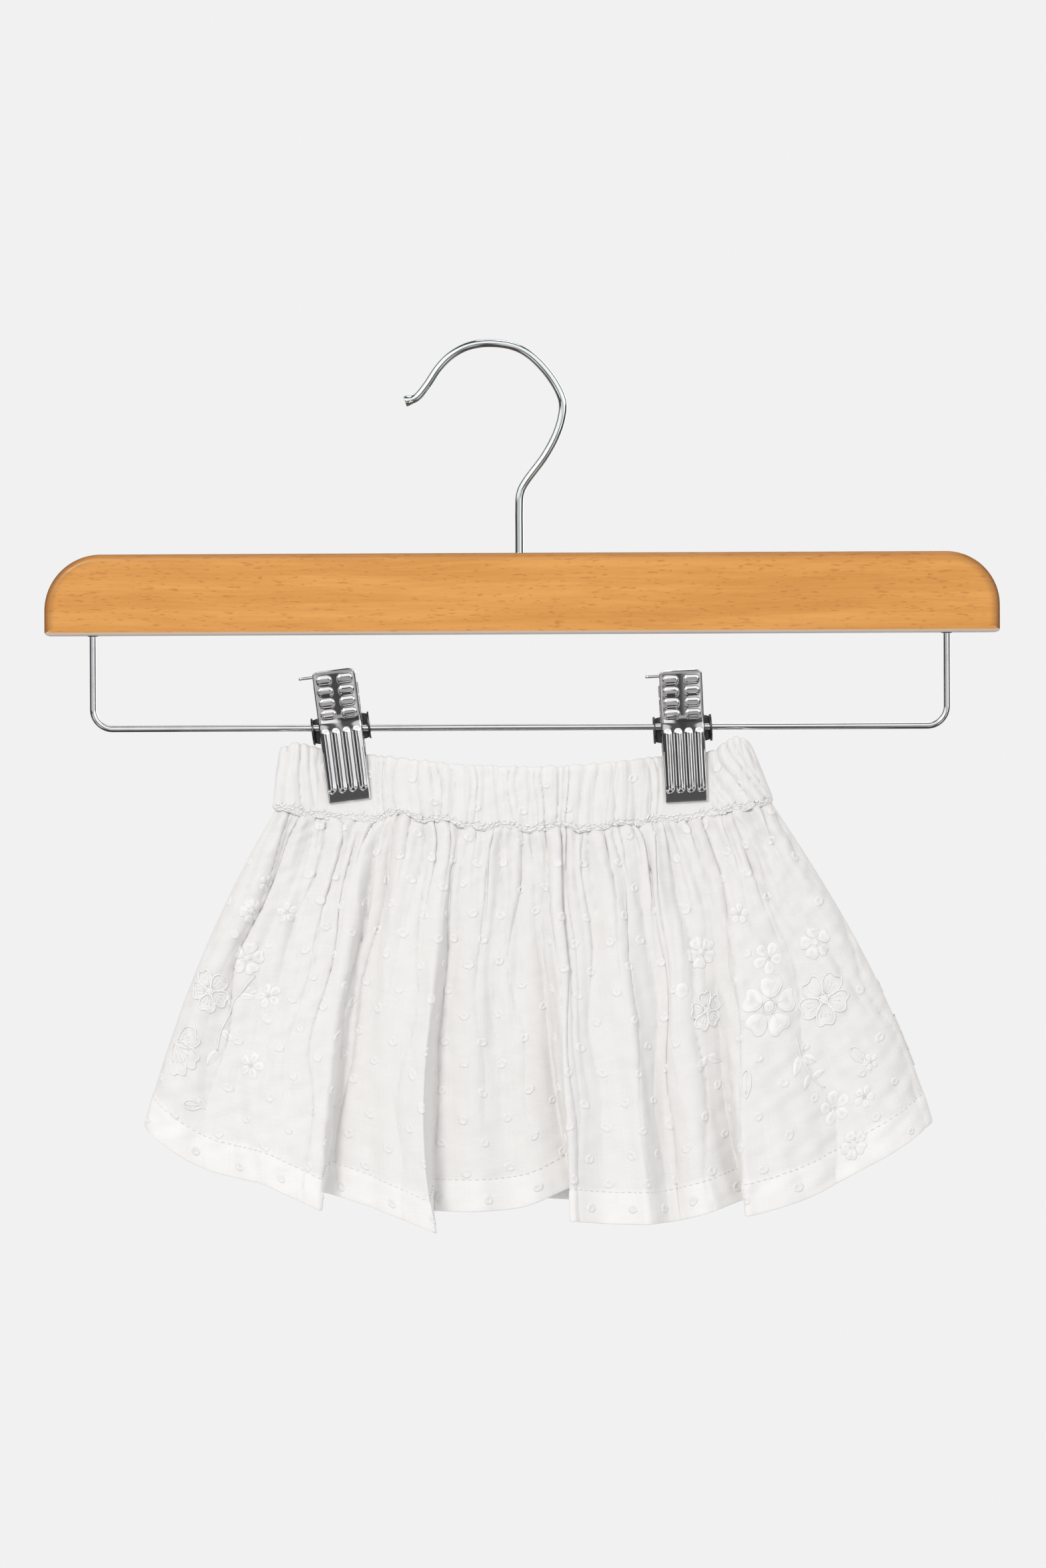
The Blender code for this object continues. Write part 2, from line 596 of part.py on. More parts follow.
def build():
    for old in list(bpy.data.objects):
        bpy.data.objects.remove(old, do_unlink=True)
    wood = material("lacquered_beech", (0.72, 0.37, 0.11), 0.28)
    chrome = material("chrome_wire", (0.75, 0.75, 0.77), 0.12, 1.0)
    steel = material("nickel_plate", (0.55, 0.55, 0.57), 0.28, 1.0)
    voile = material("white_voile", (0.87, 0.86, 0.84), 0.9)
    hanger_bar(wood)
    hanger_hook(chrome)
    clip_rod(chrome)
    for name, clip in CLIPS.items():
        clip_plate(name + "_front", clip, -1, steel)
        clip_plate(name + "_back", clip, 1, steel)
        clip_spring(name + "_spring", clip, chrome)
    waistband("waistband_front", -1, voile)
    waistband("waistband_back", 1, voile)
    skirt_panel("skirt_front", FRONT_FOLDS, -1, voile)
    skirt_panel("skirt_back", BACK_FOLDS, 1, voile)


build()
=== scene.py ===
"""The looks of a child's gathered voile skirt on a wooden clip hanger.

The tables and helper functions work in millimetres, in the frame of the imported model, and every mesh is
made in metres. +X is right, +Y is to the back, +Z is up.
"""
import math

import bpy
import numpy as np
from mathutils import Matrix, Vector


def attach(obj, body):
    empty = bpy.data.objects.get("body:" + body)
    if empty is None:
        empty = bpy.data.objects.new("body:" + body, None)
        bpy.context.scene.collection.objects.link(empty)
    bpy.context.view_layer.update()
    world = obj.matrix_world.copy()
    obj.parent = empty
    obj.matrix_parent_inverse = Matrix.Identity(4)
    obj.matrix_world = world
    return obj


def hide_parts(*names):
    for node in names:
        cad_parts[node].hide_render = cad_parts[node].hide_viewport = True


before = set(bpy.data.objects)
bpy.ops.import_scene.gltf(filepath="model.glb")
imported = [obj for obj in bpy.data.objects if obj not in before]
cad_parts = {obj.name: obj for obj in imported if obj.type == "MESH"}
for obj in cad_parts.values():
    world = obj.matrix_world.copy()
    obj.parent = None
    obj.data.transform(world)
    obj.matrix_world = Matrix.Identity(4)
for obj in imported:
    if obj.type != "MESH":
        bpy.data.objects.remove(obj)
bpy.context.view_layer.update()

MM = 0.001
# A turn and half a turn in radians, and the spread of random phases
TURN, HALF_TURN, PHASES = 6.283, 3.1416, 6.28

# Hanger bar
BAR_LEFT, BAR_RIGHT = -167.9, 187.2
BAR_MIDDLE, BAR_HALF = (BAR_LEFT + BAR_RIGHT) / 2, (BAR_RIGHT - BAR_LEFT) / 2
BAR_TOP, BAR_BOTTOM = -76.7, -106.8
BAR_THICK = 12.0
BAR_ROUND = 2.6
BAR_ROUND_BELOW = 1.3
# Rings of points on the bar's flat faces, by how far inside the rounding they lie
FACE_INSETS = (1.8, 1.0, 0.5)
CORNER_RADIUS = {"top_left": 21.0, "top_right": 20.0, "bottom": 1.6}

# Hook and rod
HOOK_RADIUS = 1.5
ROD_RADIUS = 1.2
ROD_Z = -141.5
ROD_LEFT, ROD_RIGHT = -150.2, 167.6
ROD_BEND = 7.3
ROD_IN_BAR = 12.0
# Dark ring of painted shade at each of the rod's holes: height over the bar's underside, and radius
HOLE_SHADE_PROFILE = [(0.8, 2.1), (0.1, 2.1), (-0.25, 1.9), (-0.32, 1.3)]
HOOK_LINE = [
    (-33.5, -20.1), (-29.3, -18.6), (-25.3, -13.9), (-21.1, -7.7), (-16.4, -3.0), (-10.2, 0.3),
    (-2.7, 1.5), (6.0, 0.5), (12.9, -3.0), (19.6, -9.9), (24.1, -17.4), (25.1, -23.3), (23.1, -31.5),
    (18.4, -40.5), (11.4, -49.9), (9.1, -54.7), (8.7, -60.8), (8.7, -70.0), (8.7, BAR_TOP - 16.5),
]

# Clips
CLIPS = {
    "clip_left": {"x": -57.9, "tilt": 6.9},
    "clip_right": {"x": 69.2, "tilt": 2.9},
}
PLATE_THICK = 0.9
PLATE_HALF_WIDTH = 8.05
PLATE_TOP, PLATE_BOTTOM = 21.6, -27.1
PLATE_BEND = 0.9
PLATE_CROWN = 0.28
PLATE_CORNER = 1.6
PLATE_SHEET = 0.8
# Steps down a plate and over half its width, finer for the front plates (-1) than for the back ones
PLATE_ROWS = 132
PLATE_COLUMNS = {-1: 52, 1: 22}
# Ears: EAR_HOLE sets how low a clip hangs on the rod, and EAR_INNER_RADIUS is the hole that shows
EAR_HALF_WIDTH = 10.5
EAR_RADIUS = 5.0
EAR_HOLE = 2.85
EAR_INNER_RADIUS = 1.75
EAR_HALF_THICK = 0.4
EAR_SIDES = 48
# Section of the strip between an ear and its plate: distance up or down, and half thickness
STRIP_SECTION = [(-4.7, -0.35), (-4.9, 0), (-4.7, 0.35), (4.7, 0.35), (4.9, 0), (4.7, -0.35)]
JAW_PROFILE = [(PLATE_BOTTOM, 3.3), (-20.0, 3.6), (-5.0, 5.0), (4.0, 5.6), (16.0, 8.9), (PLATE_TOP, 10.4)]
FLANGE_PROFILE = [(-8.4, 0.2), (-5.4, 2.2), (12.25, 2.4), (16.55, 0.2)]
RIB_TOP, RIB_BOTTOM = -0.6, -23.0
RIB_PITCH = 3.9
RIB_LIFT = 0.7
RIB_HALF_WIDTH = 1.72
PILL_TOP, PILL_PITCH = 18.0, 4.2
PILL_SIZE = (6.0, 3.2)
PILL_LIFT = 0.6
PILL_EDGE = 0.62
SPRING_WIRE = 0.55
SPRING_RADIUS = 2.75
SPRING_TURNS = 4.5
SPRING_BEND = 1.2
SPRING_HALF_WIDTH = 5.0
SPRING_PIN_Z = 19.8
SPRING_PIN_OUT = 4.5
SPRING_LEG_Z = 9.0
SPRING_STEPS = 150
# Least gap between the clips and what moves in them
GAP = 0.3

# Waistband, one row for each place along it, left to right: the top edge, then the bottom edge
BAND_COLUMNS = ("top_x", "top_depth", "top_z", "low_x", "low_depth", "low_z")
BAND = [
    (-79.6, 0.15, -149.8, -82.2, 0.15, -171.6),
    (-79.6, 3.0, -149.0, -82.2, 3.2, -171.8),
    (-75.0, 5.2, -146.2, -77.0, 5.8, -173.6),
    (-69.6, 1.55, -148.2, -68.4, 1.65, -175.4),
    (-56.7, 1.55, -150.9, -54.0, 1.65, -176.2),
    (-43.8, 1.55, -151.6, -39.6, 1.65, -176.5),
    (-34.0, 6.6, -153.2, -34.0, 7.0, -176.4),
    (-12.0, 8.6, -155.6, -12.0, 8.8, -178.4),
    (10.0, 9.4, -156.4, 10.0, 9.6, -181.0),
    (32.0, 8.6, -155.8, 32.0, 8.8, -180.2),
    (48.0, 6.4, -154.2, 48.0, 7.0, -178.8),
    (56.8, 1.55, -152.8, 57.6, 1.65, -178.0),
    (69.7, 1.55, -152.2, 70.7, 1.65, -176.6),
    (82.6, 1.55, -151.0, 84.0, 1.65, -174.4),
    (88.0, 5.4, -143.4, 93.0, 5.8, -172.6),
    (93.2, 3.0, -147.0, 101.9, 3.2, -170.6),
    (93.2, 0.15, -148.0, 101.9, 0.15, -170.0),
]
# Depth up to which the band counts as pinched, the share of the front's bow that the back has, how much
# lower the back's top is, and the distance from the band's inside to its outside
PINCHED_DEPTH = 2.5
BAND_BACK_BOW = 0.85
BAND_BACK_DROP = 1.6
BAND_WALL = 2.6
# Half the width that a clip holds flat, and the fade beside it
CLIP_FLAT = 8.4
CLIP_FADE = 3.0
# Steps along the band, its height, and how far apart its gathers and the skirt's are
BAND_STEPS = 480
CASING_HEIGHT = 25.0
CASING_PITCH = 4.2
SKIRT_PITCH = 4.2
BROAD_PITCH = 9.0

# Fold lines of the skirt, left to right: where each crosses the panel at the waist, at a third, at two
# thirds and at the hem, how far from the middle plane it hangs there, how low, and how sharp it is
FOLD_COLUMNS = ("name", "waist_x", "third_x", "two_thirds_x", "hem_x", "hem_depth", "hem_z", "sharp")
LEFT_SEAM = [
    ("left_seam", -82.2, -103.0, -119.0, -131.4, 0.0, -287.8, 0.0),
    ("left_turn", -82.2, -103.0, -119.0, -131.4, 6.0, -288.4, 0.0),
]
RIGHT_SEAM = [
    ("right_turn", 101.9, 127.0, 147.0, 161.3, 6.0, -288.8, 0.0),
    ("right_seam", 101.9, 127.0, 147.0, 161.3, 0.0, -288.2, 0.0),
]
FRONT_FOLDS = LEFT_SEAM + [
    ("left_shoulder", -78.0, -98.0, -113.0, -121.0, 17.0, -298.0, 0.0),
    ("left_dip", -71.0, -87.0, -99.0, -106.5, 10.0, -305.6, 0.0),
    ("flower_ridge", -61.0, -71.0, -82.0, -87.0, 25.0, -308.6, 0.2),
    ("left_edge", -47.0, -55.5, -61.5, -65.0, 30.0, -318.6, 0.5),
    ("behind_left_edge", -41.0, -50.5, -57.5, -65.5, 14.0, -312.4, 0.3),
    ("soft_left", -32.0, -39.5, -46.0, -48.0, 19.0, -317.2, 0.0),
    ("knife_edge", -18.0, -23.0, -27.5, -22.6, 34.0, -326.6, 1.0),
    ("behind_knife", -13.5, -19.0, -22.5, -24.6, 14.0, -319.8, 0.7),
    ("soft_middle", -4.0, -8.5, -9.5, -8.0, 21.0, -320.0, 0.0),
    ("middle_dip", 4.0, -1.5, 0.5, 7.0, 12.0, -319.4, 0.0),
    ("middle_rise", 9.0, 9.0, 12.0, 14.0, 19.0, -317.0, 0.0),
    ("behind_middle_edge", 13.5, 16.5, 20.0, 28.6, 12.0, -310.4, 0.6),
    ("middle_edge", 19.0, 22.0, 25.0, 27.0, 31.0, -322.6, 0.9),
    ("right_of_edge", 30.0, 33.0, 37.5, 41.5, 22.0, -324.4, 0.0),
    ("strong_ridge", 41.5, 47.0, 51.5, 55.0, 31.0, -324.0, 0.5),
    ("strong_dip", 51.0, 58.0, 60.5, 66.5, 17.0, -323.6, 0.2),
    ("strong_side", 61.0, 69.0, 73.0, 77.0, 27.0, -320.4, 0.0),
    ("behind_right_edge", 71.0, 80.0, 83.0, 92.5, 13.0, -315.4, 0.5),
    ("right_edge", 78.5, 88.5, 89.5, 91.0, 30.0, -321.4, 0.6),
    ("right_broad", 86.0, 101.0, 107.0, 113.0, 25.0, -316.0, 0.0),
    ("right_dip", 91.5, 110.0, 121.0, 129.0, 15.0, -308.0, 0.3),
    ("right_shoulder", 97.5, 119.0, 136.0, 148.0, 18.0, -298.0, 0.0),
] + RIGHT_SEAM
BACK_FOLDS = LEFT_SEAM + [
    ("left_shoulder", -76.0, -94.0, -108.0, -119.0, 20.0, -296.0, 0.0),
    ("left_dip", -66.5, -81.0, -93.0, -101.0, 9.0, -302.0, 0.3),
    ("left_ridge", -56.5, -68.0, -78.0, -85.0, 26.0, -308.0, 0.2),
    ("left_edge", -46.0, -55.0, -63.5, -67.0, 30.0, -314.6, 0.8),
    ("behind_left_edge", -38.0, -46.0, -54.0, -68.5, 7.0, -309.0, 0.5),
    ("soft_left", -27.0, -33.0, -40.0, -45.0, 17.0, -314.0, 0.0),
    ("middle_ridge", -14.5, -18.0, -22.5, -25.5, 31.0, -319.4, 0.5),
    ("middle_dip", -4.0, -5.5, -7.5, -8.0, 10.0, -316.0, 0.3),
    ("middle_rise", 6.0, 7.0, 8.0, 10.0, 23.0, -317.6, 0.0),
    ("middle_edge", 16.0, 20.0, 24.0, 28.0, 31.0, -319.4, 0.8),
    ("behind_middle_edge", 25.0, 29.0, 32.5, 29.0, 6.0, -314.0, 0.5),
    ("right_of_edge", 36.0, 40.0, 44.0, 47.0, 21.0, -317.6, 0.0),
    ("right_ridge", 46.0, 53.0, 59.0, 65.0, 31.0, -319.0, 0.4),
    ("right_dip", 57.0, 66.0, 73.0, 79.0, 10.0, -315.0, 0.3),
    ("right_rise", 67.0, 79.0, 88.0, 95.0, 25.0, -313.6, 0.2),
    ("right_edge", 77.5, 93.0, 105.0, 113.0, 28.0, -309.6, 0.8),
    ("behind_right_edge", 86.0, 103.0, 115.0, 113.0, 8.0, -304.0, 0.5),
    ("right_shoulder", 95.0, 116.0, 133.0, 144.0, 19.0, -296.0, 0.0),
] + RIGHT_SEAM
STATIONS = {"waist_x": 0.0, "third_x": 1 / 3, "two_thirds_x": 2 / 3, "hem_x": 1.0}
TURN_DEPTH = 2.6
SKIRT_SWELL = 0.3
SKIRT_COLUMNS = 560
SKIRT_ROWS = 128
HEM_DEPTH = 12.4
HEM_FOLD = 0.42
# How far the panel's top edge goes up under the casing
TUCKED_UP = 0.8
# Where the creases start, and the upright line that the back's embroidery is mirrored about
CREASE_TOP_Z = -176.0
MIRROR_X = 15.0
# Height and sideways lean of the short and broad gathers
SHORT_RISE, SHORT_LEAN = 2.0, 1.5
BROAD_RISE, BROAD_LEAN = 2.2, 2.4
# Width that the soft waves are laid out on, and the heights of the wide and the narrow ones
WAVE_WIDTH = 320
WIDE_WAVE, NARROW_WAVE = 0.30, 0.12
# The cloth is more crumpled past this distance from its calm middle, growing over a fade
CALM_X, CALM_HALF_WIDTH, CALM_FADE = 12.0, 50.0, 40.0

# Places where the skirt puffs up over the waist seam: middle, half width and height
SEAM_ARCHES = [(-34.7, 7.0, 2.2), (-20.5, 6.0, 1.6), (3.0, 5.0, 1.2), (24.0, 6.0, 1.5), (46.0, 5.0, 1.2),
               (88.0, 4.0, 0.9), (-66.0, 5.0, 1.0)]

# Creases pressed into the front: x at the waist and at the end, height of the end, depth and width
CREASES = [
    (-67.7, -87.0, -259.0, 1.1, 2.2), (-38.7, -46.4, -262.0, 0.7, 2.4), (-28.1, -40.6, -258.0, 0.8, 2.4),
    (2.8, -2.0, -262.0, 0.8, 2.2), (9.6, 5.7, -253.0, 0.9, 2.0), (26.0, 24.0, -206.0, 0.7, 1.6),
    (31.8, 40.5, -262.0, 0.7, 2.4), (63.7, 67.6, -214.0, 0.8, 1.8), (86.9, 108.1, -216.3, 0.9, 2.0),
    (96.0, 144.8, -258.8, 1.0, 2.6),
]

# Straight stitches of the hem and of the casing, and the ragged rows: rows from the casing's lower edge,
# pitch, and seed past the panel's
HEM_STITCH = {"pitch": 2.5, "length": 1.8, "lift": 0.22, "radius": 0.15}
CASING_STITCH = {"pitch": 2.0, "length": 1.5, "lift": 0.2, "radius": 0.17}
RAGGED_ROWS = [(3.6, 1.5, 31), (2.2, 1.3, 32)]

# Woven dots: size and pitch, the pitch of their rows, and how far they stay from the top, sides and hem
DOT_SIZE, DOT_PITCH, DOT_ROW_PITCH = 4.1, 21.0, 9.6
DOT_FROM_TOP, DOT_FROM_SIDE, DOT_FROM_HEM = 5.0, 6.0, 2.0
DOT_SIDES = 18
CASING_DOT_WIDTH = 240.0
# A dot from its middle to its rim: share of its radius, and height
DOT_PROFILE = [(0.03, 0.18), (0.28, 0.16), (0.5, 0.3), (0.68, 0.42), (0.84, 0.34), (0.95, 0.12),
               (1.03, -0.06)]

# Embroidery on the front, which the back mirrors: x, z, form, and the sizes that Needle's form takes
SPRAYS = [
    (100.6, -246.0, "rosette", 11.6, 1.35),
    (120.5, -243.0, "open_flower", 10.6, 0.75),
    (119.0, -221.5, "rosette", 6.4, 0.2),
    (101.5, -227.5, "blossom", 6.2, 0.9),
    (78.5, -247.0, "open_flower", 7.6, 0.4),
    (76.5, -225.5, "rosette", 6.2, 0.7),
    (90.5, -211.0, "blossom", 4.0, 0.1),
    (112.0, -262.0, "stem", [(0.0, 4.0), (1.2, -3.0), (3.2, -9.0), (6.5, -14.5), (10.0, -18.0)],
     [(1.2, -3.0, -2.1, 8.0, 2.4), (1.6, -4.0, -0.5, 7.5, 2.2), (4.2, -11.0, -2.2, 6.0, 1.7),
      (5.2, -12.5, 0.1, 6.0, 1.6)]),
    (124.5, -283.5, "blossom", 6.6, 0.3),
    (136.5, -279.0, "blossom", 4.4, 0.9),
    (131.5, -297.0, "rosette", 5.6, 0.5),
    (131.5, -262.0, "leaf", 0.0, 0.0, -1.1, 8.5, 2.3, True),
    (139.0, -266.0, "blossom", 3.4, 0.4),
    (91.5, -269.0, "leaf", 0.0, 0.0, -1.6, 10.0, 2.2, True),
    (79.0, -264.0, "leaf", 0.0, 0.0, -0.5, 8.0, 2.2),
    (79.0, -264.5, "leaf", 0.0, 0.0, -2.4, 7.0, 1.8),
    (69.5, -240.0, "disc", "satin", 0.0, 0.0, 2.8, 0.5, 18, 5),
    (-120.5, -257.0, "fan", 13.5, (-1.0, -0.15, 0.75)),
    (-108.0, -238.5, "open_flower", 8.6, 1.1),
    (-94.0, -226.0, "rosette", 6.8, 0.4),
    (-91.0, -210.5, "rosette", 5.0, 1.0),
    (-79.5, -209.5, "blossom", 4.6, 0.6),
    (-85.0, -199.5, "blossom", 3.6, 0.2),
    (-86.0, -240.0, "blossom", 5.2, 0.8),
    (-93.0, -266.5, "blossom", 5.4, 0.1),
    (-117.0, -280.0, "leaf", 0.0, 0.0, 0.4, 8.0, 2.1, True),
    (-100.0, -250.0, "stem", [(-1.0, -12.0), (-1.5, -4.0), (1.0, 6.0), (4.0, 14.0), (6.5, 20.0)],
     [(-1.5, -4.0, -0.4, 7.0, 1.9), (1.0, 6.0, 2.2, 6.5, 1.7), (3.0, 11.0, 0.1, 6.5, 1.7),
      (-1.0, -12.0, -1.9, 7.5, 2.0)]),
]
# Places without woven dots round the embroidery: x, z and radius
CLEAR_OF_DOTS = [
    (100.6, -246.0, 14.0), (120.5, -243.0, 13.0), (124.5, -283.5, 9.0), (119.0, -221.5, 8.5),
    (78.5, -247.0, 9.5), (76.5, -225.5, 8.0), (115.0, -269.0, 9.0), (101.5, -227.5, 8.0),
    (-116.0, -257.0, 14.0),
    (-106.0, -238.5, 10.0), (-94.0, -226.0, 8.5), (-91.0, -210.5, 7.0), (-99.0, -250.0, 6.0),
    (-93.0, -266.5, 7.5), (131.5, -297.0, 8.0), (92.0, -274.0, 6.0),
]

# Camera, in millimetres
VIEW_X, VIEW_DISTANCE, VIEW_Z = 9.7, 2000.0, -162.6
LENS, SENSOR, VIEW_ROLL = 123.4, 36.0, 0.25

# Lights and floor, in metres: place, size, power and colour
LIT_PLACE = (0.01, 0.0, -0.2)
LIGHTS = {
    "key": ((-1.05, -2.3, 1.15), 0.8, 34.0, (1.0, 0.992, 0.978)),
    "fill": ((1.5, -1.3, 0.1), 1.2, 3.0, (0.97, 0.985, 1.0)),
    "top": ((0.2, 0.4, 1.6), 1.0, 5.0, (1.0, 1.0, 1.0)),
    "back": ((0.6, 1.9, 0.3), 1.2, 8.0, (1.0, 1.0, 1.0)),
}
FLOOR_RADIUS, FLOOR_Z, FLOOR_SIDES = 2.6, -1.7, 96
# Strength of the soft light from all round
SOFT_LIGHT = 0.765

# What the metal mirrors from the front half of the room, below eye level and above it: places from far left
# to far right, and brightness
FRONT_BELOW = [(0.0, 0.25), (0.06, 0.05), (0.12, 0.08), (0.14, 1.25), (0.24, 1.25), (0.26, 0.08),
               (0.36, 0.10), (0.41, 0.10), (0.435, 1.05), (0.484, 0.95), (0.497, 0.05), (0.56, 0.05),
               (0.62, 0.25), (0.70, 0.08), (0.77, 0.08), (0.80, 1.15), (0.87, 1.15), (0.89, 0.05),
               (1.0, 0.25)]
FRONT_LOW = [(0.0, 0.4), (0.08, 0.05), (0.14, 1.1), (0.22, 1.1), (0.26, 0.12), (0.36, 0.25), (0.44, 0.75),
             (0.472, 0.10), (0.53, 0.06), (0.56, 0.55), (0.60, 0.85), (0.68, 0.15), (0.78, 0.10), (0.81, 1.1),
             (0.88, 1.1), (0.91, 0.05), (1.0, 0.4)]
FRONT_LEVEL = [(0.0, 0.12), (0.11, 0.14), (0.14, 1.0), (0.19, 1.0), (0.24, 0.25), (0.38, 0.72), (0.62, 0.72),
               (0.76, 0.25), (0.81, 0.85), (0.86, 0.85), (0.89, 0.14), (1.0, 0.12)]


def smooth(values):
    """An eased step from 0 to 1."""
    values = np.clip(values, 0.0, 1.0)
    return values * values * (3 - 2 * values)


def smooth_line(points, steps):
    """Points of a curve that passes through every given point."""
    points = np.asarray(points, dtype=float)
    padded = np.vstack([2 * points[0] - points[1], points, 2 * points[-1] - points[-2]])
    line = []
    for index in range(len(points) - 1):
        before, start, end, after = padded[index:index + 4]
        for step in range(steps):
            t = step / steps
            line.append(0.5 * (2 * start + (end - before) * t
                               + (2 * before - 5 * start + 4 * end - after) * t ** 2
                               + (3 * start - before - 3 * end + after) * t ** 3))
    line.append(points[-1])
    return np.array(line)


def spline_weights(shares, controls, degree=3):
    """Weights of a clamped spline: one row for each share of its length, one column for each control."""
    spans = controls - degree
    knots = np.array([0] * degree + list(range(spans + 1)) + [spans] * degree, dtype=float)
    place = np.clip(np.asarray(shares) * spans, 0, spans - 1e-9)
    weights = ((place[:, None] >= knots[None, :-1]) & (place[:, None] < knots[None, 1:])).astype(float)
    for order in range(1, degree + 1):
        raised = np.zeros((len(place), weights.shape[1] - 1))
        for index in range(raised.shape[1]):
            rise = knots[index + order] - knots[index]
            fall = knots[index + order + 1] - knots[index + 1]
            if rise > 0:
                raised[:, index] += (place - knots[index]) / rise * weights[:, index]
            if fall > 0:
                raised[:, index] += (knots[index + order + 1] - place) / fall * weights[:, index + 1]
        weights = raised
    return weights


def even_shares(lines, count):
    """Shares of a spline that spread its columns evenly over the given control lines."""
    dense = np.linspace(0, 1, 6000)
    weights = spline_weights(dense, len(lines[0]))
    reached = np.zeros(len(dense))
    for line in lines:
        steps = np.linalg.norm(np.diff(weights @ line, axis=0), axis=1)
        reached += np.concatenate([[0], np.cumsum(steps)]) / steps.sum()
    return np.interp(np.linspace(0, len(lines), count + 1), reached, dense)


def round_angles(count):
    """Angles spread evenly over a turn."""
    return np.linspace(0, 2 * np.pi, count, endpoint=False)


def unit(vectors):
    return vectors / np.maximum(np.linalg.norm(vectors, axis=-1, keepdims=True), 1e-9)


def grid_normals(grid):
    """Unit normals of a grid of points, rows by columns."""
    return unit(np.cross(np.gradient(grid, axis=1), np.gradient(grid, axis=0)))


def grid_faces(rows, columns, flip=False, wrap=False):
    """Quads of a grid of points, closed round its columns if wrap."""
    row, column = np.meshgrid(np.arange(rows - 1), np.arange(columns - (not wrap)), indexing="ij")
    after = (column + 1) % columns
    quads = np.stack([row * columns + column, row * columns + after,
                      (row + 1) * columns + after, (row + 1) * columns + column], -1).reshape(-1, 4)
    return quads[:, ::-1] if flip else quads


def table_columns(names, rows):
    """A table's columns by name. Columns of numbers come back as arrays."""
    return {name: np.array(values) for name, values in zip(names, zip(*rows))}


def travelled(grid, axis):
    """How far each point of a grid lies along its rows or columns."""
    steps = np.linalg.norm(np.diff(grid, axis=axis), axis=2)
    start = np.zeros_like(steps[:, :1] if axis == 1 else steps[:1])
    return np.concatenate([start, np.cumsum(steps, axis=axis)], axis=axis)


class Heap:
    """Points, faces and texture places of many small forms that make one mesh."""

    def __init__(self):
        self.points, self.faces, self.places, self.size = [], [], [], 0

    def add(self, points, faces, places=None):
        points = np.asarray(points, dtype=float)
        self.points.append(points)
        self.faces += [[int(corner) + self.size for corner in face] for face in faces]
        self.places.append(np.zeros((len(points), 2)) if places is None else np.asarray(places))
        self.size += len(points)

    def piece(self, name, surface, slot, nodes=()):
        return piece(name, np.vstack(self.points), self.faces, surface, nodes, np.vstack(self.places))


def add_object(name, data):
    made = bpy.data.objects.new(name, data)
    bpy.context.collection.objects.link(made)
    return made


def piece(name, points, faces, surface, nodes=(), places=None, marks=None):
    """One mesh object from points in millimetres, riding on the part and replacing CAD nodes."""
    mesh = bpy.data.meshes.new(name)
    faces = faces.tolist() if isinstance(faces, np.ndarray) else faces
    mesh.from_pydata((np.asarray(points) * MM).tolist(), [], faces)
    mesh.materials.append(surface)
    mesh.shade_smooth()
    if places is not None:
        corners = np.empty(len(mesh.loops), dtype=np.int32)
        mesh.loops.foreach_get("vertex_index", corners)
        layer = mesh.uv_layers.new(name="cloth")
        layer.data.foreach_set("uv", np.asarray(places, dtype=np.float32)[corners].ravel())
    for label, values in (marks or {}).items():
        mark = mesh.attributes.new(label, "FLOAT", "POINT")
        mark.data.foreach_set("value", np.asarray(values, dtype=np.float32))
    made = add_object(name, mesh)
    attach(made, "root")
    if nodes:
        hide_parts(*nodes)
    return made


def capped_faces(rows, columns):
    """Quads between rings of points, then a face over the first ring and one over the last."""
    ends = [list(range(columns))[::-1], [(rows - 1) * columns + index for index in range(columns)]]
    return grid_faces(rows, columns, wrap=True).tolist() + ends


def tube(route, radius, sides):
    """Points, faces and texture places of a round tube along a route, with flat ends."""
    route = np.asarray(route, dtype=float)
    radius = np.broadcast_to(np.asarray(radius, dtype=float), (len(route),))
    ahead = unit(np.gradient(route, axis=0))
    across = np.cross(ahead[0], (0.0, 0.0, 1.0) if abs(ahead[0][2]) < 0.9 else (1.0, 0.0, 0.0))
    angles = round_angles(sides)
    rings = []
    for index, point in enumerate(route):
        across = unit(across - ahead[index] * np.dot(across, ahead[index]))
        upward = np.cross(ahead[index], across)
        rings.append(point + radius[index] * (np.cos(angles)[:, None] * across
                                              + np.sin(angles)[:, None] * upward))
    places = np.column_stack([np.repeat(travelled(route[None], 1)[0], sides), np.tile(angles, len(route))])
    return np.vstack(rings), capped_faces(len(route), sides), places


def wire(name, route, radius, sides, surface, nodes):
    """A piece that is one round tube."""
    points, faces, places = tube(route, radius, sides)
    return piece(name, points, faces, surface, nodes, places)


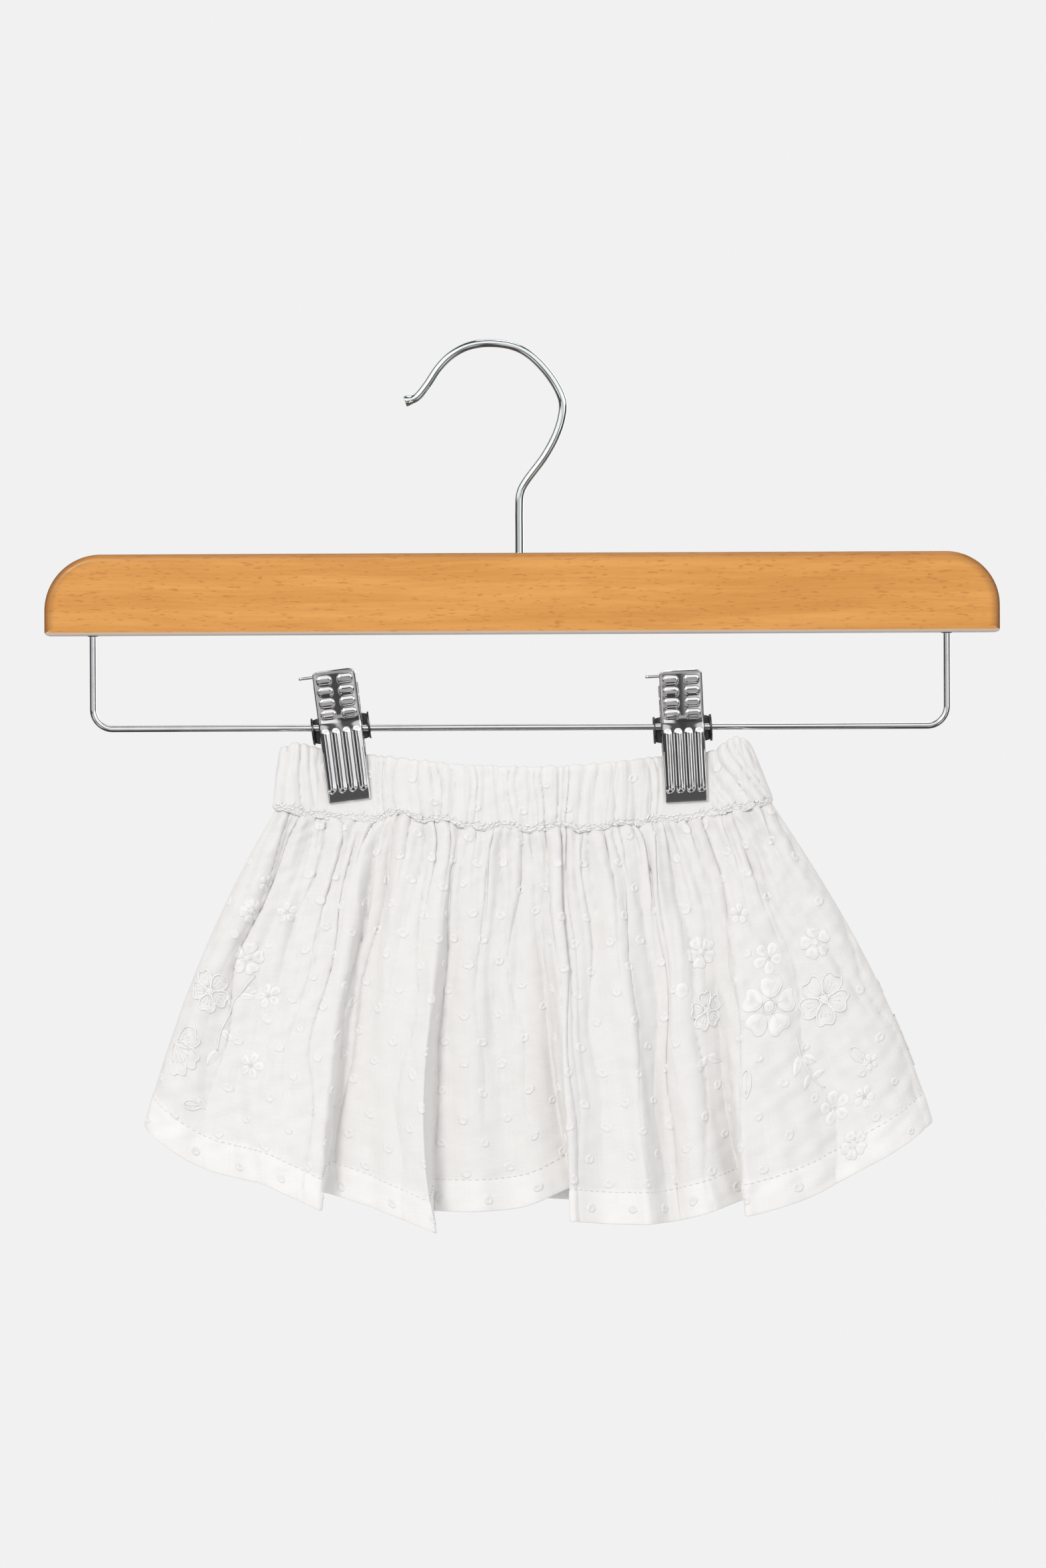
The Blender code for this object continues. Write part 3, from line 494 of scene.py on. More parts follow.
class Nodes:
    """Short calls for the nodes of a material or of the world."""

    def __init__(self, owner):
        owner.use_nodes = True
        self.owner, self.tree = owner, owner.node_tree
        self.tree.nodes.clear()

    def add(self, kind, inputs=None, **settings):
        node = self.tree.nodes.new("ShaderNode" + kind)
        for key, value in settings.items():
            setattr(node, key, value)
        for key, value in (inputs or {}).items():
            if isinstance(value, bpy.types.NodeSocket):
                self.tree.links.new(value, node.inputs[key])
            else:
                node.inputs[key].default_value = value
        return node

    def out(self, kind, inputs=None, **settings):
        return self.add(kind, inputs, **settings).outputs[0]

    def math(self, operation, first, second):
        return self.out("Math", {0: first, 1: second}, operation=operation)

    def times(self, first, second):
        return self.math("MULTIPLY", first, second)

    def average(self, first, second):
        return self.times(self.math("ADD", first, second), 0.5)

    def mostly(self, first, second):
        """Three fifths of one value and two fifths of another."""
        return self.math("ADD", self.times(first, 0.6), self.times(second, 0.4))

    def mix(self, share, first, second):
        """Two colours mixed, each an output or red, green and blue."""
        first, second = (value if isinstance(value, bpy.types.NodeSocket) else (*value, 1.0)
                         for value in (first, second))
        return self.add("Mix", {0: share, 6: first, 7: second}, data_type="RGBA").outputs[2]

    def ramp(self, value, low, high, to_low=0.0, to_high=1.0):
        return self.out("MapRange", {"Value": value, "From Min": low, "From Max": high, "To Min": to_low,
                                     "To Max": to_high}, interpolation_type="SMOOTHSTEP")

    def cloth_place(self):
        return self.out("UVMap", uv_map="cloth")

    def object_place(self):
        return self.add("TexCoord").outputs["Object"]

    def mark(self, name):
        return self.add("Attribute", attribute_name=name).outputs["Fac"]

    def noise(self, vector, scale, detail=2.0, roughness=0.5):
        return self.add("TexNoise", {"Vector": vector, "Scale": scale, "Detail": detail,
                                     "Roughness": roughness}).outputs["Fac"]

    def streaks(self, vector, scale, detail=2.0, roughness=0.5, turn=0.0):
        """Noise with its own scale each way."""
        stretched = self.out("Mapping", {"Vector": vector, "Scale": scale, "Rotation": (0.0, turn, 0.0)})
        return self.noise(stretched, 1.0, detail, roughness)

    def waves(self, vector, pitch, direction, distortion):
        """Threads across a direction, one every pitch."""
        return self.add("TexWave", {"Vector": vector, "Scale": math.pi / (10 * pitch),
                                    "Distortion": distortion, "Detail": 2.0, "Detail Scale": 1.5},
                        wave_type="BANDS", bands_direction=direction).outputs["Fac"]

    def bump(self, height, strength, distance, normal=None):
        inputs = {"Height": height, "Strength": strength, "Distance": distance}
        if normal is not None:
            inputs["Normal"] = normal
        return self.out("Bump", inputs)

    def principled(self, inputs):
        return self.out("BsdfPrincipled", inputs)

    def finish(self, surface):
        self.add("OutputMaterial", {"Surface": surface})
        return self.owner


def new_material(name):
    return Nodes(bpy.data.materials.new(name))


def cloth_material(name, light, shade, through, slub):
    """Fine plain weave: threads, slubs and a little light through it."""
    make = new_material(name)
    place = make.cloth_place()
    threads = make.average(make.waves(place, 0.42, "X", 2.2), make.waves(place, 0.46, "Y", 2.2))
    slubs = make.average(make.streaks(place, (1.15, 0.035, 1.0), 3.0, 0.6),
                         make.streaks(place, (0.03, 1.25, 1.0), 3.0, 0.6))
    cloudy = make.noise(place, 0.07, 3.0, 0.55)
    colour = make.mix(make.mostly(make.ramp(slubs, 0.35, 0.65), make.ramp(cloudy, 0.3, 0.7)), shade, light)
    double = make.mark("double")
    colour = make.mix(make.times(double, 0.2), colour, (0.868, 0.857, 0.843))
    normal = make.bump(threads, 0.35, 0.00006, make.bump(slubs, slub, 0.0004))
    front = make.principled({"Base Color": colour, "Roughness": make.ramp(threads, 0.0, 1.0, 0.94, 0.82),
                             "Sheen Weight": 0.18, "Sheen Roughness": 0.4, "Specular IOR Level": 0.25,
                             "Normal": normal})
    behind = make.out("BsdfTranslucent", {"Color": colour, "Normal": normal})
    share = make.times(make.math("SUBTRACT", 1.0, make.times(double, 0.8)), through)
    return make.finish(make.out("MixShader", {0: share, 1: front, 2: behind}))


def thread_material(name, light, shade, pitch, depth, roughness):
    """Satin thread laid side by side along each form."""
    make = new_material(name)
    place = make.cloth_place()
    tone = make.average(make.waves(place, pitch, "X", 0.8), make.streaks(place, (2.2, 0.3, 1.0)))
    rough = make.ramp(tone, 0.0, 1.0, roughness + 0.1, roughness - 0.05)
    return make.finish(make.principled({
        "Base Color": make.mix(tone, shade, light), "Roughness": rough, "Sheen Weight": 0.2,
        "Sheen Roughness": 0.35, "Normal": make.bump(tone, 0.6, depth)}))


def painted_shade_net_material(name, light, shade):
    """Openwork: fine crossed threads over a ground of painted shade, grey where real openwork shows the shade
    behind it.
    """
    make = new_material(name)
    place = make.object_place()
    threads = make.math("MAXIMUM", make.waves(place, 0.0006, "X", 0.4), make.waves(place, 0.0006, "Z", 0.4))
    colour = make.mix(make.ramp(threads, 0.3, 0.8), shade, light)
    return make.finish(make.principled({
        "Base Color": colour, "Roughness": make.ramp(threads, 0.0, 1.0, 0.95, 0.8),
        "Specular IOR Level": 0.2, "Normal": make.bump(threads, 0.5, 0.00008)}))


def metal_material(name, colour, roughness, scratch, wear):
    """Plated metal with faint drawing lines, smudges and duller worn places."""
    make = new_material(name)
    place = make.object_place()
    lines = make.streaks(place, (900.0, 900.0, 60.0), 3.0, 0.6)
    dull = make.ramp(make.noise(place, 90.0, 4.0, 0.6), 0.45, 0.75)
    tone = make.mix(dull, colour, [part * wear for part in colour])
    rough = make.math("ADD", make.times(dull, 0.07), roughness)
    return make.finish(make.principled({"Base Color": tone, "Metallic": 1.0, "Roughness": rough,
                                        "Normal": make.bump(lines, scratch, 0.00003)}))


def wood_material():
    """Clear-lacquered beech: streaks, short dark ray flecks, rounded edges painted darker as painted dark
    reflection, and a pale grey painted reflection on the underside.
    """
    make = new_material("lacquered_beech")
    place = make.object_place()
    bend = make.out("CombineXYZ", {"Z": make.times(make.noise(place, 9.0), 0.006)})
    bent = make.out("VectorMath", {0: place, 1: bend}, operation="ADD")
    lean = math.radians(-2.4)
    broad = make.streaks(bent, (9.0, 40.0, 150.0), 3.0, 0.55, lean)
    fine = make.streaks(bent, (45.0, 300.0, 900.0), 4.0, 0.65, lean)
    short = make.streaks(place, (270.0, 600.0, 1500.0), 1.0, 0.4, lean)
    long = make.streaks(place, (170.0, 500.0, 1200.0), 1.0, 0.4, lean)
    flecks = make.math("MAXIMUM", make.ramp(short, 0.63, 0.73), make.ramp(long, 0.65, 0.75))
    colour = make.mix(make.mostly(make.ramp(broad, 0.3, 0.7), make.ramp(fine, 0.3, 0.7)),
                      (0.572, 0.241, 0.047), (0.718, 0.339, 0.087))
    colour = make.mix(make.times(flecks, 0.48), colour, (0.40, 0.135, 0.026))
    # Painted dark reflection: the edge mark paints the rounded edges darker brown, most at the bar's ends.
    edge = make.times(make.math("POWER", make.mark("edge"), 1.7), 0.97)
    colour = make.mix(edge, colour, (0.20, 0.068, 0.012))
    # Painted reflection: the under mark paints the bar's underside pale grey.
    colour = make.mix(make.times(make.mark("under"), 0.85), colour, (0.58, 0.54, 0.50))
    grain = make.math("SUBTRACT", fine, make.times(flecks, 0.5))
    return make.finish(make.principled({
        "Base Color": colour, "Roughness": make.ramp(fine, 0.2, 0.8, 0.42, 0.3), "Coat Weight": 0.08,
        "Specular IOR Level": 0.32, "Coat Roughness": 0.12, "Normal": make.bump(grain, 0.25, 0.00006)}))


def floor_material():
    """Faintly mottled and matte."""
    make = new_material("pale_floor")
    mottle = make.noise(make.object_place(), 3.0, 4.0)
    colour = make.mix(mottle, (0.80, 0.80, 0.80), (0.84, 0.84, 0.835))
    return make.finish(make.principled({"Base Color": colour, "Roughness": 0.8, "Specular IOR Level": 0.2}))


class Cloth:
    """A laid-out grid of cloth, so that dots, stitches and embroidery can be put on it by distance."""

    def __init__(self, grid, outward):
        self.grid = grid
        self.normals = grid_normals(grid) * outward
        self.along = travelled(grid, 1)
        self.down = travelled(grid, 0).mean(axis=1)

    def seen_at(self, x, z):
        """Row and column of the nearest point to the viewer that shows at a place in the front view."""
        towards = VIEW_DISTANCE / (VIEW_DISTANCE + self.grid[..., 1])
        off = np.hypot(VIEW_X + (self.grid[..., 0] - VIEW_X) * towards - x,
                       VIEW_Z + (self.grid[..., 2] - VIEW_Z) * towards - z)
        near = off < max(1.2, off.min() + 0.1)
        depth = np.where(near, self.grid[..., 1] * math.copysign(1.0, -self.normals[0, 5, 1]), np.inf)
        return np.unravel_index(np.argmin(depth), depth.shape)

    def put(self, row, column, right, up, lift):
        """Points of the cloth at distances to the right of and above a row and column, moved out by lift."""
        right, up, lift = np.broadcast_arrays(np.atleast_1d(right).astype(float), up, lift)
        rows, columns = self.grid.shape[:2]
        start = np.interp(row, np.arange(rows), self.down)
        target = np.interp(start - up, self.down, np.arange(rows))
        target = np.clip(target, 0, rows - 1.001)
        result = np.empty((len(right), 3))
        for index in range(len(right)):
            top = int(target[index])
            share = target[index] - top
            along = self.along[top] * (1 - share) + self.along[top + 1] * share
            here = np.interp(column, np.arange(columns), along) + right[index]
            place = min(max(np.interp(here, along, np.arange(columns)), 0), columns - 1.001)
            left = int(place)
            part = place - left
            corner = ((1 - share) * (1 - part), (1 - share) * part, share * (1 - part), share * part)
            cells = ((top, left), (top, left + 1), (top + 1, left), (top + 1, left + 1))
            point = sum(weight * self.grid[cell] for weight, cell in zip(corner, cells))
            normal = sum(weight * self.normals[cell] for weight, cell in zip(corner, cells))
            result[index] = point + unit(normal) * lift[index]
        return result


def band_edges(side):
    """Top and bottom edge of a waistband as control lines. side is -1 in front and 1 at the back."""
    band = table_columns(BAND_COLUMNS, BAND)
    bow = 1.0 if side < 0 else BAND_BACK_BOW
    drop = 0.0 if side < 0 else BAND_BACK_DROP
    places = np.arange(len(BAND))
    from_end = np.clip(np.minimum(places, places[::-1]) / 3, 0, 1)
    edges = []
    for edge, lowered in (("top", drop), ("low", 0.0)):
        depth = band[edge + "_depth"].copy()
        bowed = PINCHED_DEPTH + (depth - PINCHED_DEPTH) * bow
        depth = np.where(depth > PINCHED_DEPTH, bowed, depth)
        height = band[edge + "_z"] - lowered * from_end
        edges.append(np.column_stack([band[edge + "_x"], side * depth, height]))
    return edges


def near_clip(x, z):
    """1 under a clip's jaws and 0 away from them."""
    distance = np.full(np.shape(x), np.inf)
    for clip in CLIPS.values():
        middle = clip["x"] + (ROD_Z - z) * math.tan(math.radians(clip["tilt"]))
        distance = np.minimum(distance, np.abs(x - middle))
    return np.clip(1 - (distance - CLIP_FLAT) / CLIP_FADE, 0.0, 1.0)


def gather_field(across, down, pitch, seed, fullness, reach, start, sunk=0.62, wander=0.14, lean=0.0):
    """Rounded gathers with narrow valleys over across and down: how high, and how far each leans sideways."""
    dice = np.random.default_rng(seed)
    edges = [across.min() - pitch * dice.random()]
    while edges[-1] < across.max():
        edges.append(edges[-1] + pitch * (0.4 + 1.2 * dice.random() ** 1.3))
    edges = np.array(edges)
    size = np.diff(edges)
    full = fullness[0] + (fullness[1] - fullness[0]) * dice.random(len(size))
    full *= np.clip(size / pitch, 0.5, 1.35)
    length = reach[0] * (reach[1] / reach[0]) ** dice.random(len(size))
    tilt = lean * np.sign(dice.random(len(size)) - 0.45) * (0.35 + 0.65 * dice.random(len(size)))
    phase = dice.random(4) * PHASES
    drift = wander * pitch * (np.sin(down / 9.0 + across / 6.0 + phase[0])
                              + np.sin(down / 21.0 - across / 12.0 + phase[1]))
    shifted = across + drift * smooth((down + 2.0) / 10.0)
    which = np.clip(np.searchsorted(edges, shifted) - 1, 0, len(size) - 1)
    t = np.clip((shifted - edges[which]) / size[which] - 0.5, -0.5, 0.5)
    hump = np.maximum(np.cos(np.pi * t), 0.0) ** 0.6
    fade = np.exp(-(down / length[which]) ** 1.4) * (1 - np.exp(-(down + 0.35) / start))
    height = full[which] * (hump - sunk) * fade
    return height, tilt[which] * full[which] * hump * fade


def seam_rise(x):
    """How far the waist seam steps up or down along it: small puckers and a few arches."""
    rise = 0.28 * np.sin(x / 3.1 + 0.7) + 0.22 * np.sin(x / 1.37 + 2.0) + 0.3 * np.sin(x / 7.7)
    for middle, half, height in SEAM_ARCHES:
        rise = rise + height * np.maximum(1 - ((x - middle) / half) ** 2, 0.0) ** 0.7
    return rise


def wrinkle_field(across, down, seed, count, wide, tall):
    """Soft uneven waves that run mostly down the cloth."""
    dice = np.random.default_rng(seed)
    height = np.zeros(across.shape)
    for _ in range(count):
        span = wide[0] + (wide[1] - wide[0]) * dice.random()
        fall = tall[0] + (tall[1] - tall[0]) * dice.random()
        turn = 1 if dice.random() < 0.5 else -1
        height += np.sin(TURN * (across / span + turn * down / fall) + TURN * dice.random())
    return height / math.sqrt(count)


def crumple_field(across, down, seed):
    """Small uneven dents in every direction."""
    dice = np.random.default_rng(seed)
    height = np.zeros(across.shape)
    for _ in range(16):
        angle = HALF_TURN * dice.random()
        span = 5.0 + 11.0 * dice.random()
        height += np.sin(TURN * (across * math.cos(angle) + down * math.sin(angle)) / span
                         + TURN * dice.random())
    return height / 4


def fold_lines(folds, side, shares):
    """Control points of each fold line at every share of the skirt's height, as rows by lines by 3."""
    fold = table_columns(FOLD_COLUMNS, folds)
    across = np.array([fold[name] for name in STATIONS])
    stations = np.array(list(STATIONS.values()))
    edge = band_edges(side)[1]
    waist = spline_weights(np.linspace(0, 1, 400), len(edge)) @ edge
    waist_depth = np.interp(fold["waist_x"], waist[:, 0], waist[:, 1])
    waist_z = np.interp(fold["waist_x"], waist[:, 0], waist[:, 2])
    waist_depth[[0, -1]] = 0.0
    waist_depth[[1, -2]] = side * TURN_DEPTH
    grid = []
    for share in shares:
        pull = [np.prod((share - np.delete(stations, index)) / (station - np.delete(stations, index)))
                for index, station in enumerate(stations)]
        swell = share * (1 + SKIRT_SWELL * (1 - share))
        x = np.array(pull) @ across
        y = waist_depth + (side * fold["hem_depth"] - waist_depth) * swell
        z = waist_z + (fold["hem_z"] - waist_z) * share
        grid.append(np.column_stack([x, y, z]))
    grid = np.array(grid)
    lines = []
    for index, sharp in enumerate(fold["sharp"]):
        if sharp == 0:
            lines.append(grid[:, index])
            continue
        reach = (0.34 - 0.27 * sharp * smooth(np.array(shares) / 0.6))[:, None]
        for beside in (index - 1, None, index + 1):
            moved = 0 if beside is None else (grid[:, beside] - grid[:, index]) * reach
            lines.append(grid[:, index] + moved)
    return np.stack(lines, axis=1), waist


def skirt_grid(folds, side, seed):
    """The panel's outside as a fine grid: folds, creases, gathers and soft wrinkles."""
    shares = np.linspace(0, 1, SKIRT_ROWS) ** 1.15
    lines, waist = fold_lines(folds, side, shares)
    weights = spline_weights(even_shares([lines[0], lines[-1]], SKIRT_COLUMNS), lines.shape[1])
    grid = np.einsum("ul,rlk->ruk", weights, lines)
    grid[0, :, 2] = np.interp(grid[0, :, 0], waist[:, 0], waist[:, 2])
    for _ in range(2):
        grid[1:4] = (grid[0:3] + 2 * grid[1:4] + grid[2:5]) / 4
    across = np.tile(travelled(grid, 1)[0], (SKIRT_ROWS, 1))
    width = travelled(grid, 1)
    down = travelled(grid, 0)
    from_side = np.minimum(width, width[:, -1:] - width)
    taper = smooth(from_side / 7.0)
    short, short_lean = gather_field(across, down, SKIRT_PITCH, seed, fullness=(0.5, 1.5), reach=(12, 80),
                                     start=0.8, sunk=0.35, wander=0.16, lean=0.9)
    broad, broad_lean = gather_field(across, down, BROAD_PITCH, seed + 1, fullness=(0.4, 1.6),
                                     reach=(55, 190), start=12.0, sunk=0.45, wander=0.10, lean=0.9)
    height = SHORT_RISE * short + BROAD_RISE * broad
    lean = SHORT_LEAN * short_lean + BROAD_LEAN * broad_lean
    thread = width / width[:, -1:] * WAVE_WIDTH
    height += WIDE_WAVE * wrinkle_field(thread, down, seed + 2, 9, (10, 26), (150, 500)) * smooth(down / 25)
    height += NARROW_WAVE * wrinkle_field(thread, down, seed + 3, 9, (5, 11), (60, 200)) * smooth(down / 12)
    if side < 0:
        for waist_x, end_x, end_z, depth, wide in CREASES:
            share = np.clip((grid[..., 2] - CREASE_TOP_Z) / (end_z - CREASE_TOP_Z), 0.0, 1.4)
            off = (grid[..., 0] - (waist_x + (end_x - waist_x) * share)) / wide
            fade = smooth(share * 8) * (1 - smooth((share - 0.75) / 0.35))
            height += 1.35 * depth * fade * (0.45 * np.exp(-(off + 1.6) ** 2) - np.exp(-np.abs(off) ** 1.2))
    near_side = smooth((np.abs(grid[..., 0] - CALM_X) - CALM_HALF_WIDTH) / CALM_FADE)
    height += crumple_field(thread, down, seed + 4) * (0.14 + 0.21 * near_side + 0.26 * np.exp(-down / 18))
    height += 1.0 * np.exp(-down / 7) * (1 - np.exp(-down / 0.6))
    tangents = unit(np.gradient(grid, axis=1))
    grid = (grid + grid_normals(grid) * side * (height * taper)[..., None]
            + tangents * (lean * taper)[..., None])
    grid[..., 2] += seam_rise(grid[0, :, 0])[None] * np.exp(-down / 5.0)
    grid[0, :, 2] += TUCKED_UP
    return grid


def panel(name, folds, side, seed, surface):
    """A skirt panel: the outside down to the hem, then the hem turned up inside."""
    grid = skirt_grid(folds, side, seed)
    up_from_hem = travelled(grid[::-1], 0)[::-1]
    normals = grid_normals(grid) * side
    turned_up = smooth((HEM_DEPTH + 0.4 - up_from_hem) / 0.8)
    stitched = np.exp(-((up_from_hem - HEM_DEPTH + 0.9) / 0.7) ** 2)
    grid = grid + normals * (0.28 * turned_up - 0.32 * stitched)[..., None]
    cloth = Cloth(grid, side)
    normals = cloth.normals
    downward = unit(grid[-1] - grid[-2])
    rows = [grid]
    for step in range(1, 6):
        angle = math.pi * step / 6
        rows.append((grid[-1] + downward * HEM_FOLD * math.sin(angle)
                     - normals[-1] * HEM_FOLD * (1 - math.cos(angle)))[None])
    backwards = up_from_hem[::-1]
    for up in (0.2, 2.0, 4.2, 6.4, 8.6, 10.6, 11.4, HEM_DEPTH):
        inner = np.empty_like(grid[-1])
        pulled = 2 * HEM_FOLD - 0.5 * smooth((up - 10.0) / 1.5)
        for column in range(grid.shape[1]):
            line = backwards[:, column]
            inner[column] = [np.interp(up, line, grid[::-1, column, axis] - pulled
                                       * normals[::-1, column, axis]) for axis in range(3)]
        rows.append(inner[None])
    whole = np.concatenate(rows)
    flat_width = cloth.along[-1, -1]
    places = np.stack([np.broadcast_to(np.linspace(0, flat_width, whole.shape[1]), whole.shape[:2]),
                       -travelled(whole, 0)], -1).reshape(-1, 2)
    double = np.ones(whole.shape[:2])
    double[:len(grid)] = turned_up
    made = piece(name, whole.reshape(-1, 3), grid_faces(*whole.shape[:2], flip=side < 0), surface,
                 ["skirt_front" if side < 0 else "skirt_back"], places, {"double": double.ravel()})
    return made, cloth, up_from_hem


def band(name, side, seed, surface):
    """Half of the elastic casing: up the inside, over the top and down the outside."""
    top, low = band_edges(side)
    weights = spline_weights(even_shares([top, low], BAND_STEPS), len(top))
    top_line, low_line = weights @ top, weights @ low
    middle = (top_line + low_line) / 2
    along = np.gradient(middle, axis=0)
    out = unit(np.column_stack([along[:, 1], -along[:, 0], np.zeros(len(along))]) * -side)
    travelled_line = travelled(middle[None], 1)[0]
    from_side = np.minimum(travelled_line, travelled_line[-1] - travelled_line)
    half = BAND_WALL / 2
    section = [(1.0 - 0.92 * step / 14, -half, 0.5) for step in range(15)]
    section += [(0.055 * (1 - math.sin(angle)), -half * math.cos(angle), 0.55)
                for angle in np.linspace(0.25, math.pi - 0.25, 9)]
    outside = len(section)
    section += [(0.08 + 0.82 * step / 30, half, 1.0) for step in range(31)]
    section += [(0.935, half * 0.96, 0.85), (0.97, half * 0.84, 0.6), (1.0, half * 0.55, 0.3)]
    share_down, outward, rise = (np.array(column)[:, None] for column in zip(*section))
    across = np.tile(travelled_line, (len(section), 1))
    down = share_down * CASING_HEIGHT + np.zeros_like(across)
    right_end = smooth((middle[:, 0] - 74.0) / 6.0)[None]
    left_end = smooth((-67.0 - middle[:, 0]) / 4.0)[None]
    slanted = across - 0.42 * (down - 12.0) * right_end
    gathers, lean = gather_field(slanted, down, CASING_PITCH, seed, fullness=(0.5, 1.45), reach=(60, 400),
                                 start=0.02, sunk=0.6, wander=0.30, lean=0.5)
    finer = {"fullness": (0.1, 1.2), "reach": (12, 40), "start": 0.02, "sunk": 0.6, "wander": 0.30}
    above, _ = gather_field(across, down + 6, 2.6, seed + 5, **finer)
    below, _ = gather_field(across, 31 - down, 2.9, seed + 7, **finer)
    gathers = (gathers + 0.6 * above + 0.6 * below) * (1 + 0.45 * right_end + 0.3 * left_end)
    gathers += 0.16 * crumple_field(across, down, seed + 6)
    flat = 1 - 0.88 * near_clip(middle[:, 0], middle[:, 2])[None]
    tapered = flat * rise * smooth(from_side / 4.0)[None]
    lift = gathers * tapered
    lift = lift + 0.35 * flat * np.sin(np.pi * share_down) * np.sign(outward) * (rise > 0.9)
    signed = np.where(outward < 0, outward - 0.6 * lift, outward + lift)
    signed = np.where(np.abs(outward) < 0.4 * half, outward, signed)
    grid = (top_line[None] + (low_line - top_line)[None] * share_down[..., None]
            + out[None] * signed[..., None] + unit(along)[None] * (lean * tapered * (outward > 0))[..., None])
    crown = np.exp(-(share_down / 0.05) ** 2)
    grid[..., 2] += crown * 0.75 * gathers * flat
    grid[..., 2] += seam_rise(low_line[:, 0])[None] * smooth((share_down - 0.55) / 0.45)
    grid[:, [0, -1], 1] = 0.0
    cloth = Cloth(grid[outside:], side)
    places = np.stack([across * 1.35, travelled(grid, 0)], -1).reshape(-1, 2)
    made = piece(name, grid.reshape(-1, 3), grid_faces(*grid.shape[:2], flip=side < 0), surface,
                 ["waistband_front" if side < 0 else "waistband_back"], places)
    return made, cloth


def stitch_row(heap, cloth, rows, pitch, length, lift, radius, spare=2.0):
    """Straight stitches along the cloth at the row given for each column."""
    columns = cloth.grid.shape[1]
    along = np.array([np.interp(rows[column], np.arange(cloth.grid.shape[0]), cloth.along[:, column])
                      for column in range(columns)])
    along = np.maximum.accumulate(along)
    place = along[0] + spare
    while place < along[-1] - spare - length:
        column = np.interp(place, along, np.arange(columns))
        row = np.interp(column, np.arange(columns), rows)
        steps = np.array([0.0, 0.3, 0.7, 1.0])
        route = cloth.put(row, column, steps * length, 0.0, lift * np.array([-0.4, 1.0, 1.0, -0.4]))
        heap.add(*tube(route, radius * np.array([0.6, 1.0, 1.0, 0.6]), 6))
        place += pitch


def ragged_row(heap, cloth, row, pitch, seed):
    """Short loose stitches at uneven angles along a gathered seam."""
    dice = np.random.default_rng(seed)
    columns = cloth.grid.shape[1]
    along = cloth.along[int(row)]
    place = 2.5
    while place < along[-1] - 5.0:
        angle, length = 0.55 * dice.normal(), 1.3 + 1.2 * dice.random()
        steps = np.array([0.0, 0.25, 0.75, 1.0]) * length
        column = np.interp(place, along, np.arange(columns))
        route = cloth.put(row + dice.normal() * 0.5, column, steps * math.cos(angle), steps * math.sin(angle),
                          np.array([-0.1, 0.2, 0.2, -0.1]))
        radius = 0.22 + 0.16 * dice.random()
        heap.add(*tube(route, radius * np.array([0.5, 1.0, 1.0, 0.5]), 7))
        place += pitch * (0.5 + dice.random())


def tuft(heap, cloth, row, column, size, turn, dice):
    """One woven dot: a low ring of cut thread ends round a dimple."""
    angles = round_angles(DOT_SIDES)
    phases = dice.random(3) * PHASES
    lobes = 1 + 0.08 * np.sin(angles * 2 + phases[0]) + 0.05 * np.sin(angles * 5 + phases[1])
    uneven = 1 + 0.22 * np.sin(angles * 3 + phases[2])
    right, up, lift = [], [], []
    for share, rise in DOT_PROFILE:
        ring = 0.5 * size * share * lobes
        x, y = ring * np.cos(angles), 0.84 * ring * np.sin(angles)
        right.append(x * math.cos(turn) - y * math.sin(turn))
        up.append(x * math.sin(turn) + y * math.cos(turn))
        lift.append(rise * uneven if share < 1 else np.full(DOT_SIDES, rise))
    right, up, lift = (np.concatenate(values) for values in (right, up, lift))
    faces = capped_faces(len(DOT_PROFILE), DOT_SIDES)[:-1]
    heap.add(cloth.put(row, column, right, up, lift), faces, np.column_stack([right, up]))


def dots(name, cloth, flat_width, seed, surface, keep_off):
    """Staggered rows of woven dots that follow the cloth. Some near the waist hide in the gathers."""
    heap = Heap()
    dice = np.random.default_rng(seed)
    rows, columns = cloth.grid.shape[:2]
    level, index = DOT_FROM_TOP, 0
    while level < cloth.down[-1] - DOT_FROM_HEM:
        row = np.interp(level, cloth.down, np.arange(rows))
        place = DOT_FROM_SIDE + (DOT_PITCH / 2 if index % 2 else 0.0)
        while place < flat_width - DOT_FROM_SIDE:
            column = place / flat_width * (columns - 1) + dice.normal() * 0.6
            nudged = row + dice.normal() * 0.5
            point = cloth.grid[int(min(nudged, rows - 1)), int(column)]
            hidden = dice.random() < 0.55 * math.exp(-level / 45.0)
            if not hidden and all(math.hypot(point[0] - x, point[2] - z) > reach for x, z, reach in keep_off):
                tuft(heap, cloth, nudged, column, DOT_SIZE + 0.3 * dice.normal(), dice.normal() * 0.35, dice)
            place += DOT_PITCH
        level += DOT_ROW_PITCH
        index += 1
    return heap.piece(name, surface, "voile")


